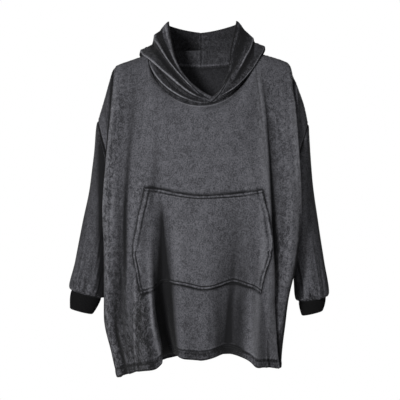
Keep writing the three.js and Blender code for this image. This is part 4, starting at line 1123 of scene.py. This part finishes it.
def sleeve_piece(name, side, seed):
    """A sleeve from the armhole to the cuff, gathered at its end."""
    count, half = SLEEVE_COLUMNS, SLEEVE_COLUMNS // 2
    k = np.arange(count)
    turn = 2 * math.pi * k / count
    share = np.where(k <= half, k, count - k) / half
    before = (k <= half)[:, None]
    seam = np.full(count, float(side["sign"]))
    edge = np.where(before, *(panel_point(panel, seam, 1 + share) for panel in (FRONT, BACK)))
    edge_normals = np.where(before, *(edge_normal(panel, side, 1 + share) for panel in (FRONT, BACK)))
    start = sleeve_start(side, share)
    end = sleeve_section(side, side["cuff_top"], turn)
    axis = cuff_axis(side)
    sections = [dict(zip(side["sleeve"], row)) for row in np.array(list(side["sleeve"].values())).T]
    rings = [sleeve_section(side, section, turn) for section in sections]
    stations = [edge + start * SEAM_GAP, edge + start * SLEEVE_START, *rings, end - axis * SLEEVE_TAIL]
    steps = np.concatenate([graded(0, 6, 0.09, 0.045, (True, False), 3), graded(6, 7, 0.2, 0.25)[1:]])
    low = np.minimum(steps, 6)
    grid = curve_points(stations, low * (len(stations) - 1) / 6)
    tail = steps > 6
    grid[tail] = mix(stations[-1][None], end[None], (steps[tail] - 6)[:, None, None])
    drawn = ease((steps - GATHER_FROM) / (GATHER_FULL - GATHER_FROM)) * ease(GATHER_END - steps)
    gather = waves(k[None] / count * 1000, seed, 1000 / GATHERS) * drawn[:, None]
    grid = grid[::-1]
    normals = grid_normals(grid, around=True, flip=side["sign"])
    normals[-1], normals[0] = edge_normals, ring_normals(end)
    armhole, around = to_edge(grid, "top"), lengths(grid, 1)
    relief = GATHER_DEPTH * gather[::-1]
    relief += sleeve_creases(side, turn[None], (steps[::-1] / 6)[:, None])
    relief += seam_dip(armhole, around, seed + 1, 1.5, 0.8)
    relief += seam_dip(to_edge(grid, "bottom"), around, seed + 2, 1.0, 0.9)
    relief += unrest(grid, seed + 3, 120, 1.0) * ease(armhole / 30)
    grid = grid + normals * relief[..., None]
    line = inset_line(grid, normals, "top", SLEEVE_SEAM)
    tone = seam_tone(armhole) + seam_tone(to_edge(grid, "bottom")) + side["sleeve_tone"]
    # painted shade on the sleeve's inner side next to the body and along its outer side
    tone = tone - 0.6 * bell(np.minimum(turn, 2 * math.pi - turn), 0.25, 0.55)
    tone = tone - 0.6 * bell(turn, math.pi, 0.38) - 0.5 * bell(turn, math.pi, 0.16)
    # the painted band beside the body, on the front half only
    away, width, amount = side["streak"]
    tone = tone + amount * bell(np.abs(grid[..., 0]), away, width) * np.where(grid[..., 1] < 0, 1, 0)
    creased = 0.15 + 0.7 * drawn[::-1, None] * np.ones_like(turn) + 0.4 * np.exp(-armhole / 25)
    piece = cloth_mesh(name, grid, normals, FLEECE, tone, around=True, flip=side["sign"],
                       soft_edges=SEWN_EDGE, creased=creased)
    return piece, [line]


def sleeve_creases(side, turn, run):
    """Height of a sleeve's long soft creases."""
    total = np.zeros(np.broadcast(turn, run).shape)
    for start, end, from_turn, to_turn, height, width in side["creases"]:
        along = np.clip((run - start) / (end - start), 0, 1)
        centre = mix(from_turn, to_turn, along)
        offset = (turn - centre + math.pi) % (2 * math.pi) - math.pi
        reach = np.sin(math.pi * along) ** 0.7
        total += height * reach * bell(offset, 0, width)
    return total


def cuff_piece(name, side):
    """A rib cuff: ribs raised in its outer points over a plain inside."""
    count = RIBS * RIB_POINTS
    turn = 2 * math.pi * np.arange(count) / count
    axis = cuff_axis(side)
    rings = [sleeve_section(side, side[key], turn) for key in ("cuff_end", "cuff_top")]
    rings[1] = rings[1] + axis * SEAM_GAP
    out_of = [ring_normals(ring) for ring in rings]
    run = graded(0, 1, 0.012, 0.045)[:, None, None]
    grid = mix(rings[0][None], rings[1][None], run)
    normals = unit(mix(out_of[0][None], out_of[1][None], run))
    end = to_edge(grid, "bottom")
    belly = 1.4 * np.sin(math.pi * run[..., 0]) + unrest(grid, 5 + side["sign"], 45, 0.5)
    fold = -1.0 * np.exp(-end / 1.4)
    rib = RIB_RISE * (0.5 + 0.5 * np.cos(turn * RIBS)) ** 0.8 - RIB_RISE
    seam = -0.9 * np.exp(-to_edge(grid, "top") / 2.0)
    grid = grid + normals * (belly + fold + seam + rib)[..., None]
    inner_thickness = RIB_CLOTH + RIB_RISE + rib
    tone = np.zeros(grid.shape[:2])
    return cloth_mesh(name, grid, normals, inner_thickness, tone, around=True, flip=side["sign"])


def pocket_places():
    """The pocket's levels, its places across and up, how open its sides are, and the shares and levels at
    which its points lie."""
    levels = graded(POCKET_BOTTOM, POCKET_TOP, 0.004, 0.011)[:, None]
    columns = graded(-NECK, NECK, 0.003, 0.011)[None, :]
    place = columns / NECK
    height = np.clip((levels - POCKET_BOTTOM) / (POCKET_TOP - POCKET_BOTTOM), 0, 1)
    shift = mix(follow(*POCKET_LOWER_WAVE, place), follow(*POCKET_UPPER_WAVE, place), height)
    wavy = levels + shift / LEVEL_LENGTH
    share = column_share(FRONT, columns, levels)
    opening = ease((levels - POCKET_WIDE) / 0.02)
    edge_wave = 0.0035 * waves(levels * LEVEL_LENGTH, 71, 60) * opening * np.sin(math.pi * height)
    notch = 0.009 * bell(levels, POCKET_WIDE, 0.012)
    share = share + (edge_wave * place ** 4 - notch * place ** 8) * np.sign(place)
    return levels, place, height, opening, share, wavy


def pocket_piece(name):
    """The pouch pocket, on the front's own points moved out. Its slanted upper sides are the openings."""
    levels, place, height, opening, share, wavy = pocket_places()
    front = lambda s, l: panel_point(FRONT, s, l)
    base = front(share, wavy)
    normals = outward(front, share, wavy, 1)
    sewn = np.where(levels < POCKET_WIDE, 1 - np.abs(place) ** 4, 1)
    rise = POCKET_GAP + POCKET_RISE * np.sin(math.pi * height) * sewn
    grid = base + normals * (rise + FLEECE)[..., None]
    first, last = to_edge(grid, "first"), to_edge(grid, "last")
    low, top = to_edge(grid, "bottom"), to_edge(grid, "top")
    side_run = lengths(grid, 0)
    band = mix(POCKET_SEAM, OPENING_HEM, opening)
    relief = np.zeros(grid.shape[:2])
    for distance, seed in ((first, 31), (last, 37)):
        for stitched in (band, mix(band, band - OPENING_ROWS, opening)):
            relief += stitch_groove(distance, stitched, 0.6)
        puckers = 0.6 * waves(side_run, seed, POCKET_PUCKERS) * np.exp(-np.abs(distance - band) / 5)
        relief += 0.7 * ease((band + 1 - distance) / 3) + puckers
    along = lengths(grid, 1)
    for distance, seed in ((low, 41), (top, 43)):
        relief += stitch_groove(distance, POCKET_SEAM)
        relief += 0.5 * ease((POCKET_SEAM + 1 - distance) / 3)
        relief += 0.5 * waves(along, seed, POCKET_PUCKERS) * np.exp(-np.abs(distance - POCKET_SEAM) / 6)
    nearest = np.minimum(np.minimum(first, last), np.minimum(low, top))
    relief -= 0.7 * np.exp(-nearest / 1.3)
    relief += unrest(grid, 47, 80, 0.6)
    grid = grid + normals * relief[..., None]
    # painted shade and light of the front's folds, at the pocket's turned edges and at its stitches
    tone = fold_tone(FRONT, share, wavy) + free_edge_tone(nearest)
    tone += stitch_tone(low, POCKET_SEAM) + stitch_tone(top, POCKET_SEAM)
    tone += stitch_tone(first, band) + stitch_tone(last, band)
    lines = [inset_line(grid, normals, edge, POCKET_SEAM) for edge in ("bottom", "top")]
    lines += side_lines(grid, normals, levels)
    creased = 0.1 + 0.5 * np.exp(-nearest / 9) + 0.3 * crumpled(share, wavy)
    return cloth_mesh(name, grid, normals, FLEECE, tone, creased=creased), lines


def pocket_outline():
    """Points round the pocket's edge, on the front panel."""
    *_, share, wavy = pocket_places()
    grid = panel_point(FRONT, share, wavy)
    return np.concatenate([grid[0], grid[-1], grid[:, 0], grid[:, -1]])


def distance_to(grid, line):
    """Distance of each point of a grid from the nearest point of a line."""
    nearest = []
    for part in np.array_split(grid.reshape(-1, 3), 60):
        nearest.append(np.sqrt(((part[:, None] - line[None]) ** 2).sum(axis=-1).min(axis=1)))
    return np.concatenate(nearest).reshape(grid.shape[:2])


def side_lines(grid, normals, levels):
    """Stitch lines along the pocket's sides: one row below the widest point, two along each opening."""
    below = levels[:, 0] < POCKET_WIDE
    lines = []
    for edge in ("first", "last"):
        lines.append(inset_line(grid[below], normals[below], edge, POCKET_SEAM))
        for place in (OPENING_HEM, OPENING_HEM - OPENING_ROWS):
            lines.append(inset_line(grid[~below], normals[~below], edge, place))
    return lines


def new_group(name, inputs, outputs):
    """A group of shader nodes with named inputs and outputs."""
    group = bpy.data.node_groups.new(name, "ShaderNodeTree")
    for label, kind, value in inputs:
        socket = group.interface.new_socket(label, in_out="INPUT", socket_type=kind)
        socket.default_value = value
    for label, kind in outputs:
        group.interface.new_socket(label, in_out="OUTPUT", socket_type=kind)
    return group


def node(tree, kind, links=None, **values):
    """A node with its properties and socket values set, and its inputs linked by name or number."""
    made = tree.nodes.new(kind)
    for key, value in values.items():
        setattr(made, key, value)
    for key, source in (links or {}).items():
        if isinstance(source, bpy.types.NodeSocket):
            tree.links.new(source, made.inputs[key])
        else:
            made.inputs[key].default_value = source
    return made


def calc(tree, operation, *values, clamp=False):
    """The result of one sum on sockets and numbers."""
    inputs = dict(enumerate(values))
    return node(tree, "ShaderNodeMath", inputs, operation=operation, use_clamp=clamp).outputs[0]


def calc_vector(tree, operation, *values):
    """The result of one sum on vectors."""
    return node(tree, "ShaderNodeVectorMath", dict(enumerate(values)), operation=operation).outputs[0]


def noise(tree, vector, scale, detail, **more):
    """A noise node."""
    inputs = {"Vector": vector, "Scale": scale, "Detail": detail, **more}
    return node(tree, "ShaderNodeTexNoise", inputs)


def pile_group():
    """Short pile of fleece: patches where the nap lies another way, streaks, smudges and grain, and the
    crumpled nap where it is creased."""
    scales = (("Patch Scale", 26.0), ("Streak Scale", 60.0), ("Smudge Scale", 90.0), ("Grain Scale", 520.0))
    inputs = [(name, "NodeSocketFloat", value) for name, value in (*scales, ("Creased", 0.0))]
    outputs = [(name, "NodeSocketFloat") for name in ("Shade", "Height", "Crumple")]
    group = new_group("fleece pile", inputs, outputs)
    given = group.nodes.new("NodeGroupInput").outputs
    result = group.nodes.new("NodeGroupOutput")
    place = node(group, "ShaderNodeTexCoord").outputs["Object"]
    bent = noise(group, place, 20.0, 2.0)
    shift = calc_vector(group, "MULTIPLY", bent.outputs["Color"], (0.02, 0.02, 0.02))
    moved = calc_vector(group, "ADD", place, shift)
    long = calc_vector(group, "MULTIPLY", moved, (1.0, 1.0, 0.12))
    tall = calc_vector(group, "MULTIPLY", place, (1.0, 1.0, 0.85))
    wear_and_painted_shade = calc_vector(group, "MULTIPLY", moved, (1.0, 1.0, 0.8))
    flat = calc_vector(group, "MULTIPLY", moved, (1.0, 1.0, 0.65))
    patch = noise(group, moved, given["Patch Scale"], 5.0, Roughness=0.62)
    streak = noise(group, long, given["Streak Scale"], 3.0)
    grain = noise(group, tall, given["Grain Scale"], 3.0, Roughness=0.7)
    smudge = noise(group, wear_and_painted_shade, given["Smudge Scale"], 4.0, Roughness=0.75)
    crease = noise(group, flat, 120.0, 5.0, Roughness=0.9, Distortion=0.9)
    total = calc(group, "MULTIPLY", patch.outputs["Fac"], 0.2)
    for part, share in ((streak, 0.04), (grain, 0.72), (smudge, 0.16)):
        scaled = calc(group, "MULTIPLY", part.outputs["Fac"], share)
        total = calc(group, "ADD", total, scaled)
    centred = calc(group, "SUBTRACT", crease.outputs["Fac"], 0.5)
    strength = calc(group, "MULTIPLY", centred, given["Creased"])
    rough = calc(group, "MULTIPLY", grain.outputs["Fac"], 0.75)
    soft = calc(group, "MULTIPLY_ADD", patch.outputs["Fac"], 1.6, rough)
    group.links.new(calc(group, "MULTIPLY_ADD", strength, CRUMPLE_SHADE, total), result.inputs["Shade"])
    group.links.new(calc(group, "MULTIPLY_ADD", strength, CRUMPLE_HEIGHT, soft), result.inputs["Height"])
    group.links.new(strength, result.inputs["Crumple"])
    return group


def new_material(name):
    """A material with its tree and its shader."""
    material = bpy.data.materials.new(name)
    material.use_nodes = True
    return material, material.node_tree, material.node_tree.nodes["Principled BSDF"]


def colour_run(tree, share, dark, light, start=0.0, end=1.0):
    """Colour that runs from dark to light while the share runs from start to end."""
    ramp = node(tree, "ShaderNodeValToRGB", {"Fac": share})
    for stop, colour, place in zip(ramp.color_ramp.elements, (dark, light), (start, end)):
        stop.position, stop.color = place, (*colour, 1)
    return ramp.outputs["Color"]


def cloth_material(name, dark, light, pile, scales, depth=PILE_DEPTH, sheen=0.03):
    """Cloth whose colour runs from dark to light with the pile, and further with the crumpled nap and the
    painted shade and light of the tone.
    """
    material, tree, shader = new_material(name)
    texture = node(tree, "ShaderNodeGroup", node_tree=pile)
    for key, value in scales.items():
        texture.inputs[key].default_value = value
    creased = node(tree, "ShaderNodeAttribute", attribute_name="creased").outputs["Fac"]
    tree.links.new(creased, texture.inputs["Creased"])
    colour = colour_run(tree, texture.outputs["Shade"], dark, light, 0.46, 0.67)
    tone = node(tree, "ShaderNodeAttribute", attribute_name="tone").outputs["Fac"]
    # the tone is painted shade below 0 and painted light above 0, and the crumpled nap adds to it
    wear_and_painted_shade = calc(tree, "MULTIPLY_ADD", texture.outputs["Crumple"], CRUMPLE_TONE, tone)
    painted_shade = calc(tree, "MULTIPLY", wear_and_painted_shade, -1.0, clamp=True)
    painted_light = calc(tree, "MULTIPLY", wear_and_painted_shade, 0.5, clamp=True)
    colour = mix_colour(tree, painted_shade, colour, FLEECE_PAINTED_SHADE)
    colour = mix_colour(tree, painted_light, colour, FLEECE_PAINTED_LIGHT)
    tree.links.new(colour, shader.inputs["Base Color"])
    relief = node(tree, "ShaderNodeBump", {"Height": texture.outputs["Height"], "Distance": depth})
    tree.links.new(relief.outputs["Normal"], shader.inputs["Normal"])
    shader.inputs["Roughness"].default_value = 0.92
    shader.inputs["Specular IOR Level"].default_value = 0.18
    shader.inputs["Sheen Weight"].default_value = sheen
    shader.inputs["Sheen Roughness"].default_value = 0.45
    return material


def mix_colour(tree, share, colour, other):
    """The colour with a share of another one in it."""
    blend = tree.nodes.new("ShaderNodeMix")
    blend.data_type = "RGBA"
    tree.links.new(share, blend.inputs[0])
    tree.links.new(colour, blend.inputs[6])
    blend.inputs[7].default_value = (*other, 1)
    return blend.outputs[2]


def rib_material():
    """Black rib knit: rows of small loops over the ribs."""
    material, tree, shader = new_material("rib knit")
    place = node(tree, "ShaderNodeTexCoord").outputs["Object"]
    wave = {"Vector": place, "Scale": 95.0, "Distortion": 1.2, "Detail": 2.0, "Detail Scale": 3.0}
    rows = node(tree, "ShaderNodeTexWave", wave, bands_direction="Z")
    fluff = noise(tree, place, 800.0, 3.0).outputs["Fac"]
    loops = calc(tree, "MULTIPLY_ADD", rows.outputs["Fac"], 0.6, fluff)
    colour = colour_run(tree, fluff, RIB_DARK, RIB_LIGHT, 0.3, 0.7)
    tree.links.new(colour, shader.inputs["Base Color"])
    relief = node(tree, "ShaderNodeBump", {"Height": loops, "Distance": LOOP_DEPTH})
    tree.links.new(relief.outputs["Normal"], shader.inputs["Normal"])
    shader.inputs["Roughness"].default_value = 0.85
    shader.inputs["Specular IOR Level"].default_value = 0.12
    return material


def floor_piece():
    """A round pale floor below the hem."""
    ring = FLOOR_CORNERS
    turn = 2 * math.pi * np.arange(ring) / ring
    points = [(0, 0, FLOOR_Z)]
    for radius in FLOOR_RADII:
        points += [(radius * math.cos(a), radius * math.sin(a), FLOOR_Z) for a in turn]
    faces = [(0, 1 + k, 1 + (k + 1) % ring) for k in range(ring)]
    for band in range(len(FLOOR_RADII) - 1):
        low, high = 1 + band * ring, 1 + (band + 1) * ring
        faces += [(low + k, high + k, high + (k + 1) % ring, low + (k + 1) % ring) for k in range(ring)]
    floor = make_mesh("floor", points, faces, smooth=False)
    material, tree, shader = new_material("pale floor")
    place = node(tree, "ShaderNodeTexCoord").outputs["Object"]
    cloud = noise(tree, place, 3.0, 4.0).outputs["Fac"]
    tree.links.new(colour_run(tree, cloud, FLOOR_DARK, FLOOR_LIGHT), shader.inputs["Base Color"])
    shader.inputs["Roughness"].default_value = 0.8
    floor.data.materials.append(material)


def area_light(name, place, aim, size, power):
    """A soft round lamp."""
    light = bpy.data.lights.new(name, "AREA")
    light.shape, light.size, light.energy = "DISK", size, power
    lamp = put(name, light)
    lamp.location = place
    x, y, z = unit(np.array(aim) - np.array(place))
    lamp.rotation_euler = (math.acos(-z), 0, math.atan2(x, -y) + math.pi)


def studio():
    """White backdrop that gives only a little light, and soft lamps before the front."""
    scene = bpy.context.scene
    world = bpy.data.worlds.new("studio")
    world.use_nodes = True
    scene.world = world
    tree = world.node_tree
    tree.nodes.clear()
    seen = node(tree, "ShaderNodeBackground", {"Color": (1, 1, 1, 1), "Strength": 1.0})
    given = node(tree, "ShaderNodeBackground", {"Color": (0.96, 0.98, 1.0, 1), "Strength": AMBIENT})
    path = node(tree, "ShaderNodeLightPath")
    share = path.outputs["Is Camera Ray"]
    both = node(tree, "ShaderNodeMixShader", {0: share, 1: given.outputs[0], 2: seen.outputs[0]})
    node(tree, "ShaderNodeOutputWorld", {"Surface": both.outputs[0]})
    scene.view_settings.view_transform = "Standard"
    scene.view_settings.look = "None"
    for name, place, size, power in LAMPS:
        area_light(name, place, LAMP_AIM, size, power)


def camera():
    """A level camera far in front, which frames VIEW_WIDTH at the middle of the body."""
    data = bpy.data.cameras.new("camera")
    data.sensor_width = SENSOR
    data.lens = SENSOR * VIEW_DISTANCE / VIEW_WIDTH
    view = put("camera", data)
    view.location = (VIEW_X, -VIEW_DISTANCE, VIEW_Z)
    view.rotation_euler = (math.pi / 2, 0, 0)
    bpy.context.scene.camera = view


def dress(piece, material, node_name=None):
    """The piece gets its material, rides on the body and stands for its solid."""
    piece.data.materials.append(material)
    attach(piece, "root")
    if node_name:
        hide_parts(node_name)
    return piece


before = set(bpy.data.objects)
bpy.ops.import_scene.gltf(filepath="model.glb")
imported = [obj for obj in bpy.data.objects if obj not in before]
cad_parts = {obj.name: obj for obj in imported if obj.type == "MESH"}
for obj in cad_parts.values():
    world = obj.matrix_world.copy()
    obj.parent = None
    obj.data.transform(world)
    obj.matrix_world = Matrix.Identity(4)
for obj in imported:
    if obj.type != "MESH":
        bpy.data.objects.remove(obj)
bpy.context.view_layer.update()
camera()
studio()
floor_piece()

pile = pile_group()
scales = ("Patch Scale", "Streak Scale", "Smudge Scale", "Grain Scale")
fleece_scales = dict(zip(scales, (38.0, 110.0, 95.0, 330.0)))
fleece = cloth_material("charcoal fleece", FLEECE_DARK, FLEECE_LIGHT, pile, fleece_scales)
thread_scales = dict(zip(scales, (300.0, 500.0, 400.0, 1500.0)))
thread = cloth_material("sewing thread", THREAD_DARK, THREAD_LIGHT, pile, thread_scales, THREAD_DEPTH, 0)
knit = rib_material()

pieces, sewing = {}, {}
pieces["front"], sewing["front_hem_stitches"] = panel_piece("front_panel", FRONT)
pieces["back"], sewing["back_hem_stitches"] = panel_piece("back_panel", BACK)
pieces["hood_left"], sewing["hood_left_stitches"] = hood_half("hood_half_left", LEFT, -0.05, 51)
pieces["hood_right"], sewing["hood_right_stitches"] = hood_half("hood_half_right", RIGHT, 0.0, 57)
pieces["sleeve_left"], sewing["sleeve_left_stitches"] = sleeve_piece("sleeve_shell_left", LEFT, 61)
pieces["sleeve_right"], sewing["sleeve_right_stitches"] = sleeve_piece("sleeve_shell_right", RIGHT, 67)
pieces["pocket"], sewing["pocket_stitches"] = pocket_piece("pouch_pocket")
for node_name, piece in pieces.items():
    dress(piece, fleece, node_name)
for name, lines in sewing.items():
    sewing[name] = dress(stitches(name, lines), thread)
for name, side in (("left", LEFT), ("right", RIGHT)):
    pieces[f"cuff_{name}"] = dress(cuff_piece(f"rib_cuff_{name}", side), knit, f"cuff_{name}")
